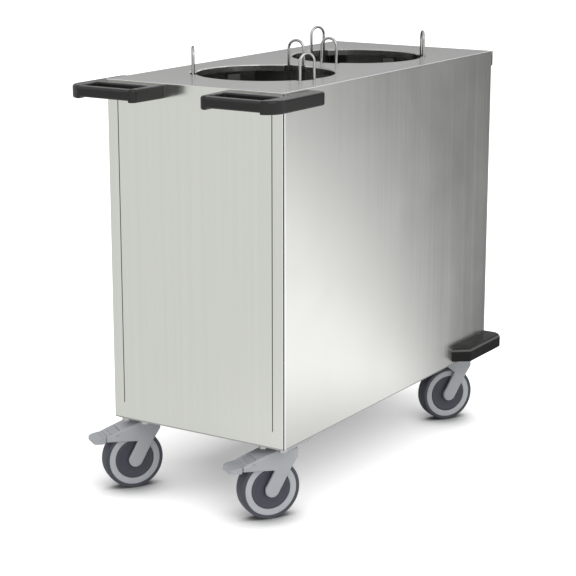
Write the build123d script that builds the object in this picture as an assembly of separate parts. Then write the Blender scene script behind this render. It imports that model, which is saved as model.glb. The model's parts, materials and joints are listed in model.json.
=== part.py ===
"""Plate dispenser cart with two sprung plate stacks.

Millimetres, +Z up. X is the width, Y the length; the push handles face -Y.
The origin is on the floor, under the middle of the cart's overall length and width.
"""
import os
from math import asin, degrees, sqrt

from build123d import *

# ---------------------------------------------------------------- driving dimensions
CART_WIDTH = 414.0          # across the two side panels
CART_LENGTH = 873.0         # over the front panel and the rear rim of the top cover
DECK_HEIGHT = 850.0         # top of the cover above the floor

PANEL_SHEET = 1.5
FLOOR_SHEET = 2.0
CORNER_GAP = 2.5            # reveal between the end panels' fold and the side panels
PANEL_INSET = 3.0           # from a side panel's outer face to an end panel's edge
PANEL_RETURN = 18.0
REAR_PANEL_INSET = 2.8      # the cover's rear rim stands this far proud of the rear panel
REAR_RIM_HEIGHT = 33.0
GROOVE_FROM_EDGE = 27.0
GROOVE_WIDTH = 2.0
GROOVE_DEPTH = 0.6
GROOVE_ABOVE_EDGE = 34.0
GROOVE_BELOW_DECK = 38.0
SKIRT_HEIGHT = 8.0
SKIRT_FROM_END = 32.0
FLOOR_FLANGE = 10.0
POST_LEG = 30.0
POST_SHEET = 2.5

STACK_PITCH = 364.0         # between the axes of the two plate stacks
OPENING_RADIUS = 141.0
NOTCH_RADIUS = 152.0        # the opening's edge behind each hairpin guide
NOTCH_WIDTH = 47.0
NOTCH_CORNER = 4.0
COLLAR_DEPTH = 13.0
OPENING_ROLL = 2.2          # radius of the opening's rolled rim
EDGE_ROLL = 1.0             # radius of the sheets' visible edges

GUIDE_WIRE = 5.8
GUIDE_LEGS = 34.0           # between the two legs' axes
GUIDE_RADIUS = 146.0        # from the stack's axis to the guide at its widest setting
GUIDE_ABOVE_DECK = 54.5
GUIDE_TRAVEL = 45.0
GUIDE_ANGLES = (90.0, 210.0, 330.0)
GUIDE_TWIST = 7.0           # both stacks' guides are turned this far round, the same way
FOOT_WIDTH = 44.0
FOOT_DEPTH = 14.0
FOOT_HEIGHT = 13.0
FOOT_NECK = 8.0
FOOT_WASHER = 18.0
FOOT_WASHER_THICK = 3.0
GUIDE_BASE_HEIGHT = 20.0    # above the cabinet's underside
WELL_POST_RADIUS = 146.0    # from the stack's axis to a well post's face
WELL_POST_WIDTH = 28.0
WELL_POST_DEPTH = 12.0
WELL_POST_BELOW_DECK = 19.0
GUIDE_BASE_HALF_WIDTH = 173.0
GUIDE_BASE_FRONT = 168.0    # from the stack's axis towards the near end of the cart
GUIDE_BASE_BACK = 152.0     # from the stack's axis towards the lift tower

PLATFORM_DEPTH = 110.0      # of the raised platform below the deck
PLATFORM_RADIUS = 88.0
PLATFORM_SHEET = 2.0
PLATFORM_RIM = 8.0
PLATFORM_HOLE = 18.0
PLATFORM_EDGE = 1.2
PLATFORM_LIFT = 3.0         # between the carriage plate and the platform
LIFT_GROUND_GAP = 14.0      # between the lowered carriage and the guide base

TOWER_HALF = 26.0           # half the tower's thickness between the stacks
TOWER_HALF_WIDTH = 128.0
TOWER_RETURN = 14.0
ARM_X = 45.0
ARM_THICK = 5.0
ARM_HEIGHT = 34.0
ARM_TIP_HEIGHT = 12.0
ARM_REACH = 52.0            # past the stack's axis
SLOT_WIDTH = 12.0
CARRIAGE_HALF_WIDTH = 70.0
CARRIAGE_HEIGHT = 90.0
CARRIAGE_SHEET = 3.0
RAIL_DEPTH = 22.0
RAIL_REACH = 16.0
RAIL_SHEET = 1.5
RAIL_X = 90.0               # the rails' outer faces
ROLLER_WIDTH = 10.0
ROLLER_AXLE = 6.0
ROLLER_BOSS = 10.0
ROLLER_GAP = 2.0            # between the carriage plate's edge and a roller
ROLLER_INSET = 10.0         # of the roller axles and spring pins from the plate's ends
SPRING_X = {"front": 25.0, "rear": 50.0}
SPRING_RADIUS = 7.0
SPRING_WIRE = 2.4
SPRING_LOOP = 5.0
SPRING_PIN = 4.0
SPRING_TOP_DEPTH = 26.0     # of the upper spring pins below the deck
HANGER_SHEET = 3.0
HANGER_WEB_GAP = 2.0        # between a spring and the web that carries its pin
HANGER_WEB_END = 15.0       # web past the outer pins
HANGER_WEB_DROP = 8.0       # web below the pins

# push handles: plan sizes are measured from the front panel and the cart's middle plane
HANDLE_REACH = 88.0
HANDLE_PROUD = 34.0         # beyond the side panel
HANDLE_DROP = 4.0           # of the handle's top below the deck
HANDLE_HEIGHT = 26.0
HANDLE_ALONG_SIDE = 98.0
HANDLE_FOOT_X = 70.0        # the inner arm's foot on the front panel
HANDLE_INNER_X = 75.0       # the inner arm at the grip
HANDLE_STRIP = 23.0
GRIP_BACK = 66.0
GRIP_DROP = 1.0             # the grip bar's top below the blocks' top
GRIP_LIFT = 3.5             # the grip bar's underside above the blocks' underside
GAP_INNER_X = (90.0, 91.0)   # at the strip and at the grip bar
GAP_OUTER_X = (213.0, 209.0)
GAP_CORNER = 4.0
GAP_EDGE = 3.0
GRIP_ROUND = 6.0
GRIP_X = (88.0, 210.0)       # the slimmer bar
HANDLE_CORNER = 38.0
HANDLE_INNER_CORNER = 13.0
HANDLE_END_CORNER = 14.0    # at the end of the part along the side
HANDLE_EDGE = 5.0
HANDLE_UNDER_EDGE = 3.0

# rear bumpers
BUMPER_REACH = 30.0
BUMPER_LIFT = 6.0           # above the cabinet's underside
BUMPER_HEIGHT = 30.0
BUMPER_ALONG_SIDE = 168.0   # from the rear face along the side, to the foot of its slope
BUMPER_SLOPE = 28.0
BUMPER_ALONG_REAR = 110.0
BUMPER_CORNER = 26.0
BUMPER_EDGE = 9.0
BUMPER_UNDER_EDGE = 3.0

SCREW_SHANK = 8.0
SCREW_HEAD = 14.0
SCREW_HEAD_HEIGHT = 5.0
SCREW_LENGTH = 20.0
HANDLE_SCREW_DROP = 14.0    # below the handle's top
BUMPER_SCREW_LIFT = 16.0    # above the bumper's underside
HANDLE_SCREW_X = (100.0, 150.0)
HANDLE_SCREW_Y = 62.0
BUMPER_SCREW_X = 160.0
BUMPER_SCREW_Y = (70.0, 120.0)

# casters
CASTER_INSET_X = 39.0
CASTER_INSET_Y = 59.0
CASTER_YAW = 236.0          # direction in which all four wheels trail, from +X
WHEEL_RADIUS = 62.5
WHEEL_TRAIL = 34.2
TREAD_WIDTH = 32.0
TREAD_CROWN = 3.0           # how far the tread's shoulders fall below its middle
TREAD_SHOULDER = 1.6
TYRE_INNER = 57.0
CAP_RADIUS = 43.2
CAP_FACE = 16.6
CAP_SEAT = 11.0
HUB_RADIUS = 12.0
AXLE_RADIUS = 6.0
AXLE_INSET = 1.5
WEB_HALF = 5.0
CAP_LIP = 2.0
RIM_EDGE = 1.0
CAVITY_HALF = 19.5
FORK_HALF = 26.0
CROWN_THICK = 14.5
FORK_LEG = 29.5
FORK_EDGE = 2.0
FORK_HEEL_X = -20.0
HOOD_END = 96.0
FORK_HEEL_DROP = 4.0        # of the heel's lower edge below the crown's underside
CROWN_HEEL = (-6.0, -25.0)  # these outlines are (trail, height above the crown's underside)
LEG_TOP = (-0.5, -5.0)      # axis of a leg's upper round end
HOOD_CREST, HOOD_LIP = (38.0, 10.0), (66.0, 0.0)
HOOD_TOP = [(22.0, CROWN_THICK), HOOD_CREST, HOOD_LIP, (HOOD_END, -11.0)]
HOOD_SIDE = [(HOOD_END, -21.5), (24.0, -27.5)]
OPEN_CROWN = [(30.0, CROWN_THICK), (40.0, 9.0), (40.0, -1.0), (20.0, -17.0)]
CAVITY_REACH = 150.0
CROWN_ABOVE_WHEEL = 5.0
PLATE_X, PLATE_Y, PLATE_THICK = 76.0, 102.0, 4.0
PLATE_CORNER = 8.0
BOLT_X, BOLT_Y = 46.0, 76.0
BOLT_RADIUS = 5.0
BOLT_HEAD = 17.0            # across flats
BOLT_HEAD_HEIGHT = 6.8
NUT_HEIGHT = 8.0
BOLT_PROUD = 3.0            # thread above the nut
RACE_HEIGHT = 7.2
RACE_RADIUS = 29.0
KINGPIN_RADIUS = 8.0
KINGPIN_HEAD = 12.0
KINGPIN_HEAD_HEIGHT = 3.5
KINGPIN_HEAD_DROP = 1.0     # of the head's underside below the crown's
PEDAL_PIVOT = (74.0, -10.0)
PEDAL_PIN = 2.5
PEDAL_TIP = 124.0
PEDAL_PIN_INSET = 0.5
PEDAL_START = 67.5
TONGUE_TOP = [(PEDAL_START, -0.8), (HOOD_END + 1.5, -11.8)]
TONGUE_UNDER = [(HOOD_END + 4.0, -24.0), (82.0, -19.0), (PEDAL_START, -11.2)]
TIP_SIDE = [(HOOD_END + 3.4, -24.5), (HOOD_END + 1.0, -11.4), (112.0, -13.5),
            (PEDAL_TIP - 2.5, -15.5), (PEDAL_TIP, -18.5), (PEDAL_TIP - 2.0, -24.0)]
TIP_RIDGE_SEAT = -12.1
HOOD_WALL = 3.0
PEDAL_HALF = 24.0
PEDAL_CORNER = 13.0
RIDGE_X = (84.0, 92.5, 101.0)
RIDGE_WIDTH = 2.4
RIDGE_HEIGHT = 1.2

# named clearances
OVERLAP = 1.0               # how far fused pieces and cutting tools run past each other
CAP_FIT = 0.05              # round a wheel's cover disc
SCREW_CLEAR = 0.25          # round a fastener in a drilled hole
RUN_CLEAR = 0.05            # round a turning shaft
SEAT_CLEAR = 0.3            # between a moving piece and its seat
SLIDE_CLEAR = 0.3           # beside a sliding neck or roller

# ---------------------------------------------------------------- derived places
CROWN_UNDERSIDE = 2 * WHEEL_RADIUS + CROWN_ABOVE_WHEEL
FORK_TOP = CROWN_UNDERSIDE + CROWN_THICK
PLATE_UNDER = FORK_TOP + SEAT_CLEAR + RACE_HEIGHT
BODY_BOTTOM = PLATE_UNDER + PLATE_THICK
KINGPIN_HEAD_TOP = CROWN_UNDERSIDE + KINGPIN_HEAD_HEIGHT - KINGPIN_HEAD_DROP
HALF = CART_WIDTH / 2
FRONT_Y = (HANDLE_REACH - BUMPER_REACH - CART_LENGTH) / 2
REAR_Y = FRONT_Y + CART_LENGTH
MID_Y = (FRONT_Y + REAR_Y) / 2
REAR_FACE = REAR_Y - REAR_PANEL_INSET
COVER_UNDER = DECK_HEIGHT - PANEL_SHEET
SIDE_INNER = HALF - PANEL_SHEET
END_EDGE = HALF - PANEL_INSET
FLOOR_TOP = BODY_BOTTOM + FLOOR_SHEET
GUIDE_BASE_TOP = BODY_BOTTOM + GUIDE_BASE_HEIGHT
HANDLE_TOP = DECK_HEIGHT - HANDLE_DROP
HANDLE_SCREW_Z = HANDLE_TOP - HANDLE_SCREW_DROP
BUMPER_BOTTOM = BODY_BOTTOM + BUMPER_LIFT
BUMPER_SCREW_Z = BUMPER_BOTTOM + BUMPER_SCREW_LIFT
STACKS = {"front": -1, "rear": 1}
STACK_Y = {name: MID_Y + side * STACK_PITCH / 2 for name, side in STACKS.items()}
PLATFORM_TOP = DECK_HEIGHT - PLATFORM_DEPTH
PLATFORM_UNDER = PLATFORM_TOP - PLATFORM_SHEET
CARRIAGE_TOP = PLATFORM_UNDER - PLATFORM_LIFT
CARRIAGE_FOOT = CARRIAGE_TOP - CARRIAGE_HEIGHT
LIFT_TRAVEL = CARRIAGE_FOOT - LIFT_GROUND_GAP - GUIDE_BASE_TOP
SPRING_TOP_PIN_Z = DECK_HEIGHT - SPRING_TOP_DEPTH
TOWER_INNER = TOWER_HALF - PANEL_SHEET
RAIL_CENTRE = TOWER_INNER - RAIL_DEPTH / 2
ROLLER_RADIUS = RAIL_DEPTH / 2 - RAIL_SHEET - SLIDE_CLEAR
ROLLER_Z = (CARRIAGE_FOOT + ROLLER_INSET, CARRIAGE_TOP - ROLLER_INSET)
CARRIAGE_PIN_Z = CARRIAGE_FOOT + ROLLER_INSET
CASTER_X = HALF - CASTER_INSET_X
CASTERS = {
    "front_left": (-CASTER_X, FRONT_Y + CASTER_INSET_Y),
    "front_right": (CASTER_X, FRONT_Y + CASTER_INSET_Y),
    "rear_left": (-CASTER_X, REAR_Y - CASTER_INSET_Y),
    "rear_right": (CASTER_X, REAR_Y - CASTER_INSET_Y),
}

parts = {}


# ---------------------------------------------------------------- helpers
def block(x, y, z):
    """A box from its low and high limits along each axis."""
    (x0, x1), (y0, y1), (z0, z1) = x, y, z
    size = (x1 - x0, y1 - y0, z1 - z0)
    return Pos((x0 + x1) / 2, (y0 + y1) / 2, (z0 + z1) / 2) * Box(*size)


def post(x, y, z, radius):
    """An upright cylinder between two heights."""
    return Pos(x, y, (z[0] + z[1]) / 2) * Cylinder(radius, z[1] - z[0])


def rod(start, direction, length, radius):
    """A cylinder from a start point along a direction."""
    plane = Plane(origin=start, z_dir=direction)
    return extrude(plane * Circle(radius), length)


def prism(points, low, high, plane):
    """A polygon of a plane's own coordinates, pushed out between two offsets from it."""
    outline = make_face(Polyline(*points, close=True))
    return extrude(plane.offset(low) * outline, high - low)


def mirrored(shape):
    """The same piece on the cart's other side."""
    return mirror(shape, about=Plane.YZ)


def both_sides(shape):
    return [shape, mirrored(shape)]


def fuse(*shapes):
    body = shapes[0]
    for shape in shapes[1:]:
        body = body + shape
    return body


def level_edges(shape, z):
    """The edges that lie at one height."""
    return [e for e in shape.edges() if abs((e @ 0).Z - z) < 0.01 and abs((e @ 0.5).Z - z) < 0.01
            and abs((e @ 1).Z - z) < 0.01]


def cut(body, tools):
    for tool in tools:
        body = body - tool
    return body


# ---------------------------------------------------------------- screws of handles and bumpers
def screw_axes():
    """Start (panel's inner face) and direction of each screw on the +X side."""
    axes = [((x, FRONT_Y + PANEL_SHEET, HANDLE_SCREW_Z), (0, -1, 0)) for x in HANDLE_SCREW_X]
    axes.append(((SIDE_INNER, FRONT_Y + HANDLE_SCREW_Y, HANDLE_SCREW_Z), (1, 0, 0)))
    axes += [((SIDE_INNER, REAR_Y - y, BUMPER_SCREW_Z), (1, 0, 0)) for y in BUMPER_SCREW_Y]
    axes.append(((BUMPER_SCREW_X, REAR_FACE - PANEL_SHEET, BUMPER_SCREW_Z), (0, 1, 0)))
    return axes


def screw_holes():
    """Drilled holes for every screw, on both sides of the cart."""
    holes = []
    for start, direction in screw_axes():
        hole = rod(start, direction, SCREW_LENGTH + OVERLAP, SCREW_SHANK / 2 + SCREW_CLEAR)
        entry = rod(start, tuple(-d for d in direction), OVERLAP, SCREW_SHANK / 2 + SCREW_CLEAR)
        holes += both_sides(hole) + both_sides(entry)
    return holes


def make_bumper_screws():
    screws = []
    for start, direction in screw_axes():
        inward = tuple(-d for d in direction)
        screw = rod(start, direction, SCREW_LENGTH, SCREW_SHANK / 2)
        screw += rod(start, inward, SCREW_HEAD_HEIGHT, SCREW_HEAD / 2)
        screws += both_sides(screw)
    return Compound(children=screws)


# ---------------------------------------------------------------- cabinet
def opening_outline(name):
    """The plate opening: a circle with a squared notch behind each guide."""
    outline = Circle(OPENING_RADIUS)
    for angle in guide_angles(name):
        depth = NOTCH_RADIUS - OPENING_RADIUS / 2
        notch = RectangleRounded(depth, NOTCH_WIDTH, NOTCH_CORNER)
        outline += Rot(0, 0, angle) * Pos(NOTCH_RADIUS - depth / 2, 0) * notch
    return outline


def guide_angles(name):
    """One guide of each stack is next to the tower, the other two towards the cart's end."""
    start = GUIDE_TWIST if name == "front" else GUIDE_TWIST + 180
    return [start + angle for angle in GUIDE_ANGLES]


def well_post_angles(name):
    """The posts stand square to the cart, between the guides."""
    return [angle + 180 if name == "front" else angle for angle in GUIDE_ANGLES]


def make_top_cover():
    cover = block((-HALF, HALF), (FRONT_Y, REAR_Y), (COVER_UNDER, DECK_HEIGHT))
    rear_rim = block((-HALF, HALF), (REAR_Y - PANEL_SHEET, REAR_Y),
                     (DECK_HEIGHT - REAR_RIM_HEIGHT, COVER_UNDER))
    skirt = block((SIDE_INNER - PANEL_SHEET, SIDE_INNER),
                  (FRONT_Y + SKIRT_FROM_END, REAR_Y - SKIRT_FROM_END),
                  (COVER_UNDER - SKIRT_HEIGHT, COVER_UNDER))
    cover = fuse(cover, rear_rim, *both_sides(skirt))
    for name, y in STACK_Y.items():
        hole = opening_outline(name)
        collar = offset(hole, amount=PANEL_SHEET)
        seat = Pos(0, y, DECK_HEIGHT - COLLAR_DEPTH)
        cover += extrude(seat * collar, COLLAR_DEPTH - PANEL_SHEET)
        cover -= extrude(seat * hole, COLLAR_DEPTH)
    rim = [e for e in level_edges(cover, DECK_HEIGHT) if is_opening_edge(e)]
    cover = fillet(rim, OPENING_ROLL)
    outer = [e for e in level_edges(cover, DECK_HEIGHT) if abs((e @ 0.5).X) > HALF - 0.01
             or abs((e @ 0.5).Y - MID_Y) > CART_LENGTH / 2 - 0.01]
    return fillet(outer, EDGE_ROLL)


def is_opening_edge(edge):
    """True for an edge within reach of a stack's axis."""
    middle = edge @ 0.5
    return any(sqrt(middle.X ** 2 + (middle.Y - y) ** 2) < NOTCH_RADIUS + NOTCH_WIDTH / 2
               for y in STACK_Y.values()) and abs(middle.X) < HALF - 0.01


def make_side_panel():
    panel = block((SIDE_INNER, HALF), (FRONT_Y + CORNER_GAP, REAR_FACE - CORNER_GAP),
                  (BODY_BOTTOM, COVER_UNDER))
    upright = panel.edges().filter_by(Axis.Z).group_by(Axis.X)[-1]
    return cut(fillet(upright, EDGE_ROLL), screw_holes())


def end_panel(outer, inward):
    """A panel across one end, its two long edges folded in."""
    face = sorted((outer, outer + inward * PANEL_SHEET))
    fold = sorted((outer, outer + inward * PANEL_RETURN))
    panel = block((-END_EDGE, END_EDGE), face, (BODY_BOTTOM, COVER_UNDER))
    fold_bottom = FLOOR_TOP + SEAT_CLEAR
    for side in both_sides(block((END_EDGE - PANEL_SHEET, END_EDGE), fold,
                                 (fold_bottom, COVER_UNDER))):
        panel += side
    upright = [e for e in panel.edges().filter_by(Axis.Z)
               if abs(e.center().Y - outer) < 0.01 and abs(abs(e.center().X) - END_EDGE) < 0.01]
    return fillet(upright, EDGE_ROLL)


def make_front_panel():
    panel = end_panel(FRONT_Y, 1)
    centre = HALF - GROOVE_FROM_EDGE
    groove = block((centre - GROOVE_WIDTH / 2, centre + GROOVE_WIDTH / 2),
                   (FRONT_Y - GROOVE_DEPTH, FRONT_Y + GROOVE_DEPTH),
                   (BODY_BOTTOM + GROOVE_ABOVE_EDGE, DECK_HEIGHT - GROOVE_BELOW_DECK))
    return cut(panel, both_sides(groove) + screw_holes())


def make_rear_panel():
    return cut(end_panel(REAR_FACE, -1), screw_holes())


def make_base_frame():
    """Floor pan with upturned flanges that meet the four panels."""
    low_y, high_y = FRONT_Y + PANEL_SHEET, REAR_FACE - PANEL_SHEET
    pan = block((-SIDE_INNER, SIDE_INNER), (low_y, high_y), (BODY_BOTTOM, FLOOR_TOP))
    side_flange = block((SIDE_INNER - FLOOR_SHEET, SIDE_INNER),
                        (FRONT_Y + SKIRT_FROM_END, REAR_Y - SKIRT_FROM_END),
                        (FLOOR_TOP, FLOOR_TOP + FLOOR_FLANGE))
    pan = fuse(pan, *both_sides(side_flange))
    flange_half = HALF - 2 * POST_LEG
    for y0, y1 in ((low_y, low_y + FLOOR_SHEET), (high_y - FLOOR_SHEET, high_y)):
        pan += block((-flange_half, flange_half), (y0, y1), (FLOOR_TOP, FLOOR_TOP + FLOOR_FLANGE))
    drill = BOLT_RADIUS + SCREW_CLEAR
    holes = [post(x, y, (BODY_BOTTOM, FLOOR_TOP), drill) for x, y in bolt_places()]
    return cut(pan, holes)


def make_corner_posts():
    """Four upright angles from the floor pan to the top cover."""
    outer = END_EDGE - PANEL_SHEET
    posts = []
    for y, inward in ((FRONT_Y + PANEL_SHEET, 1), (REAR_FACE - PANEL_SHEET, -1)):
        along = sorted((y, y + inward * POST_LEG))
        across = sorted((y, y + inward * POST_SHEET))
        height = (FLOOR_TOP, COVER_UNDER)
        angle = block((outer - POST_SHEET, outer), along, height)
        angle += block((outer - POST_LEG, outer), across, height)
        posts += both_sides(angle)
    return Compound(children=posts)


# ---------------------------------------------------------------- push handles and bumpers
def is_outer_edge(edge, wall_x, wall_y, outward):
    """True for an edge that isn't on the two walls the moulding is screwed to."""
    middle = edge @ 0.5
    on_side = abs(middle.X - wall_x) < 0.01
    on_end = abs(middle.Y - wall_y) < 0.01
    inside = middle.X < wall_x + 0.01 and outward * (middle.Y - wall_y) < 0.01
    return not (on_side or on_end or inside)


def soften(moulding, z, wall_y, outward, radius):
    """Round the free edges of a moulding's top or bottom face."""
    edges = [e for e in level_edges(moulding, z) if is_outer_edge(e, HALF, wall_y, outward)]
    return fillet(edges, radius)


def make_handle():
    """Moulded push handle: foot strip, two arms, grip bar and the bumper round the corner."""
    outer_x = HALF + HANDLE_PROUD
    front, bottom = FRONT_Y - HANDLE_REACH, HANDLE_TOP - HANDLE_HEIGHT
    plan = make_face(Polyline(
        (HANDLE_FOOT_X, FRONT_Y), (HANDLE_INNER_X, front), (outer_x, front),
        (outer_x, FRONT_Y + HANDLE_ALONG_SIDE), (HALF, FRONT_Y + HANDLE_ALONG_SIDE),
        (HALF, FRONT_Y), close=True))
    at = {(round(v.X, 2), round(v.Y, 2)): v for v in plan.vertices()}
    plan = fillet(at[(round(outer_x, 2), round(front, 2))], HANDLE_CORNER)
    at = {(round(v.X, 2), round(v.Y, 2)): v for v in plan.vertices()}
    plan = fillet(at[(round(HANDLE_INNER_X, 2), round(front, 2))], HANDLE_INNER_CORNER)
    at = {(round(v.X, 2), round(v.Y, 2)): v for v in plan.vertices()}
    end = (round(outer_x, 2), round(FRONT_Y + HANDLE_ALONG_SIDE, 2))
    plan = fillet(at[end], HANDLE_END_CORNER)
    body = extrude(Pos(0, 0, bottom) * plan, HANDLE_HEIGHT)
    body = soften(body, HANDLE_TOP, FRONT_Y, -1, HANDLE_EDGE)
    body = soften(body, bottom, FRONT_Y, -1, HANDLE_UNDER_EDGE)
    back, fore = FRONT_Y - HANDLE_STRIP, FRONT_Y - GRIP_BACK
    gap = make_face(Polyline((GAP_INNER_X[0], back), (GAP_INNER_X[1], fore),
                             (GAP_OUTER_X[1], fore), (GAP_OUTER_X[0], back), close=True))
    gap = fillet(gap.vertices(), GAP_CORNER)
    body -= extrude(Pos(0, 0, bottom) * gap, HANDLE_HEIGHT)
    gap_edges = [e for z in (bottom, HANDLE_TOP) for e in level_edges(body, z)
                 if GAP_INNER_X[0] - OVERLAP < (e @ 0.5).X < GAP_OUTER_X[0] + OVERLAP
                 and fore - OVERLAP < (e @ 0.5).Y < back + OVERLAP]
    body = fillet(gap_edges, GAP_EDGE)
    body -= block(GRIP_X, (front - OVERLAP, fore), (bottom - OVERLAP, HANDLE_TOP + OVERLAP))
    bar_height = HANDLE_HEIGHT - GRIP_DROP - GRIP_LIFT
    section = Plane(origin=(GRIP_X[0] - OVERLAP, (front + fore) / 2, bottom + GRIP_LIFT + bar_height / 2),
                    x_dir=(0, 1, 0), z_dir=(1, 0, 0)) * RectangleRounded(
                        fore - front, bar_height, GRIP_ROUND)
    body += extrude(section, GRIP_X[1] - GRIP_X[0] + 2 * OVERLAP)
    return cut(body, screw_holes())


def make_rear_bumper():
    """Moulded corner bumper low on the rear end, sloped down to the panel at both ends."""
    outer_x = HALF + HANDLE_PROUD
    rear, top = REAR_Y + BUMPER_REACH, BUMPER_BOTTOM + BUMPER_HEIGHT
    side_end, rear_end = REAR_Y - BUMPER_ALONG_SIDE, HALF - BUMPER_ALONG_REAR
    plan = make_face(Polyline(
        (HALF, REAR_FACE), (HALF, side_end), (outer_x, side_end + BUMPER_SLOPE),
        (outer_x, rear), (rear_end + BUMPER_SLOPE, rear), (rear_end, REAR_FACE), close=True))
    at = {(round(v.X, 2), round(v.Y, 2)): v for v in plan.vertices()}
    plan = fillet(at[(round(outer_x, 2), round(rear, 2))], BUMPER_CORNER)
    body = extrude(Pos(0, 0, BUMPER_BOTTOM) * plan, BUMPER_HEIGHT)
    body = soften(body, top, REAR_FACE, 1, BUMPER_EDGE)
    body = soften(body, BUMPER_BOTTOM, REAR_FACE, 1, BUMPER_UNDER_EDGE)
    return cut(body, screw_holes())


# ---------------------------------------------------------------- plate stacks
def make_guide(name, angle):
    """Hairpin guide: one bent wire on a foot that slides in the base plate's slot."""
    radius, half = GUIDE_WIRE / 2, GUIDE_LEGS / 2
    bend = DECK_HEIGHT + GUIDE_ABOVE_DECK - radius - half
    foot_bottom = GUIDE_BASE_TOP + SEAT_CLEAR
    foot_top = foot_bottom + FOOT_HEIGHT
    legs = [post(0, side * half, (foot_top - OVERLAP, bend), radius) for side in (-1, 1)]
    arch = Plane(origin=(0, 0, bend), x_dir=(0, 1, 0), z_dir=(1, 0, 0)) * Pos(half, 0) * Rot(90, 0, 0)
    crown = revolve(arch * Circle(radius), Axis((0, 0, bend), (1, 0, 0)), 180)
    foot = block((-FOOT_DEPTH / 2, FOOT_DEPTH / 2), (-FOOT_WIDTH / 2, FOOT_WIDTH / 2),
                 (foot_bottom, foot_top))
    under = GUIDE_BASE_TOP - FLOOR_SHEET - SEAT_CLEAR
    neck = post(0, 0, (under - FOOT_WASHER_THICK, foot_bottom), FOOT_NECK / 2)
    washer = post(0, 0, (under - FOOT_WASHER_THICK, under), FOOT_WASHER / 2)
    guide = fuse(legs[0], legs[1], crown, foot, neck, washer)
    return Pos(0, STACK_Y[name], 0) * Rot(0, 0, angle) * Pos(GUIDE_RADIUS, 0, 0) * guide


def make_guide_base(name, side):
    """Raised plate with one radial slot for each guide."""
    y = STACK_Y[name]
    limits = sorted((y - side * GUIDE_BASE_BACK, y + side * GUIDE_BASE_FRONT))
    half, under = GUIDE_BASE_HALF_WIDTH, GUIDE_BASE_TOP - FLOOR_SHEET
    base = block((-half, half), limits, (under, GUIDE_BASE_TOP))
    for flange in both_sides(block((half - FLOOR_SHEET, half), limits, (FLOOR_TOP, under))):
        base += flange
    width = FOOT_NECK + 2 * SLIDE_CLEAR
    slot = SlotOverall(GUIDE_TRAVEL + width, width)
    for angle in guide_angles(name):
        place = Pos(0, y, under) * Rot(0, 0, angle) * Pos(GUIDE_RADIUS - GUIDE_TRAVEL / 2, 0)
        base -= extrude(place * slot, FLOOR_SHEET)
    return base


def make_well_posts():
    """Upright channels between the guides, their backs towards the stack, on the guide bases."""
    web_x = (WELL_POST_RADIUS, WELL_POST_RADIUS + FLOOR_SHEET)
    flange_x = (WELL_POST_RADIUS, WELL_POST_RADIUS + WELL_POST_DEPTH)
    half, z = WELL_POST_WIDTH / 2, (GUIDE_BASE_TOP, DECK_HEIGHT - WELL_POST_BELOW_DECK)
    channel = fuse(block(web_x, (-half, half), z),
                   block(flange_x, (half - FLOOR_SHEET, half), z),
                   block(flange_x, (-half, FLOOR_SHEET - half), z))
    return Compound(children=[Pos(0, y, 0) * Rot(0, 0, angle) * channel
                              for name, y in STACK_Y.items() for angle in well_post_angles(name)])


def make_platform(name):
    """Round carrier plate with a turned-down rim, notched for the lift's two arms."""
    disc = post(0, 0, (PLATFORM_UNDER, PLATFORM_TOP), PLATFORM_RADIUS)
    rim = post(0, 0, (PLATFORM_TOP - PLATFORM_RIM, PLATFORM_UNDER), PLATFORM_RADIUS)
    rim -= post(0, 0, (PLATFORM_TOP - PLATFORM_RIM, PLATFORM_UNDER),
                PLATFORM_RADIUS - PLATFORM_SHEET)
    notch = ARM_THICK / 2 + SEAT_CLEAR
    for side in (-1, 1):
        rim -= block((side * ARM_X - notch, side * ARM_X + notch),
                     (-PLATFORM_RADIUS, PLATFORM_RADIUS),
                     (PLATFORM_TOP - PLATFORM_RIM, PLATFORM_UNDER))
    disc = disc + rim
    disc = fillet(disc.edges().filter_by(GeomType.CIRCLE).group_by(Axis.Z)[-1], PLATFORM_EDGE)
    disc -= post(0, 0, (PLATFORM_UNDER, PLATFORM_TOP), PLATFORM_HOLE)
    return Pos(0, STACK_Y[name], 0) * disc


def make_carriage(name, side):
    """Lift carriage in the tower: plate, two arms under the platform, roller stubs, spring pins.

    Built for the rear stack, whose arms reach +Y from the tower, then turned for the front.
    """
    plate_y = (RAIL_CENTRE - CARRIAGE_SHEET / 2, RAIL_CENTRE + CARRIAGE_SHEET / 2)
    body = block((-CARRIAGE_HALF_WIDTH, CARRIAGE_HALF_WIDTH), plate_y,
                 (CARRIAGE_FOOT, CARRIAGE_TOP))
    tip = STACK_PITCH / 2 + ARM_REACH
    arm = prism([(RAIL_CENTRE, PLATFORM_UNDER - ARM_HEIGHT), (RAIL_CENTRE, PLATFORM_UNDER),
                 (tip, PLATFORM_UNDER), (tip, PLATFORM_UNDER - ARM_TIP_HEIGHT)],
                ARM_X - ARM_THICK / 2, ARM_X + ARM_THICK / 2, Plane.YZ)
    body = fuse(body, *both_sides(arm))
    stub_end = CARRIAGE_HALF_WIDTH + ROLLER_GAP + ROLLER_WIDTH + OVERLAP
    boss_x = CARRIAGE_HALF_WIDTH - ROLLER_BOSS
    for z in ROLLER_Z:
        boss = rod((boss_x, RAIL_CENTRE, z), (1, 0, 0), ROLLER_BOSS + ROLLER_GAP / 2, ROLLER_BOSS / 2)
        stub = rod((boss_x, RAIL_CENTRE, z), (1, 0, 0), stub_end - boss_x, ROLLER_AXLE / 2)
        body = fuse(body, *both_sides(boss + stub))
    pin = rod((SPRING_X[name], RAIL_CENTRE, CARRIAGE_PIN_Z), (0, -1, 0),
              RAIL_CENTRE + SPRING_WIRE, SPRING_PIN / 2)
    body = fuse(body, *both_sides(pin))
    return Pos(0, MID_Y, 0) * (body if side > 0 else Rot(0, 0, 180) * body)


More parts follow.
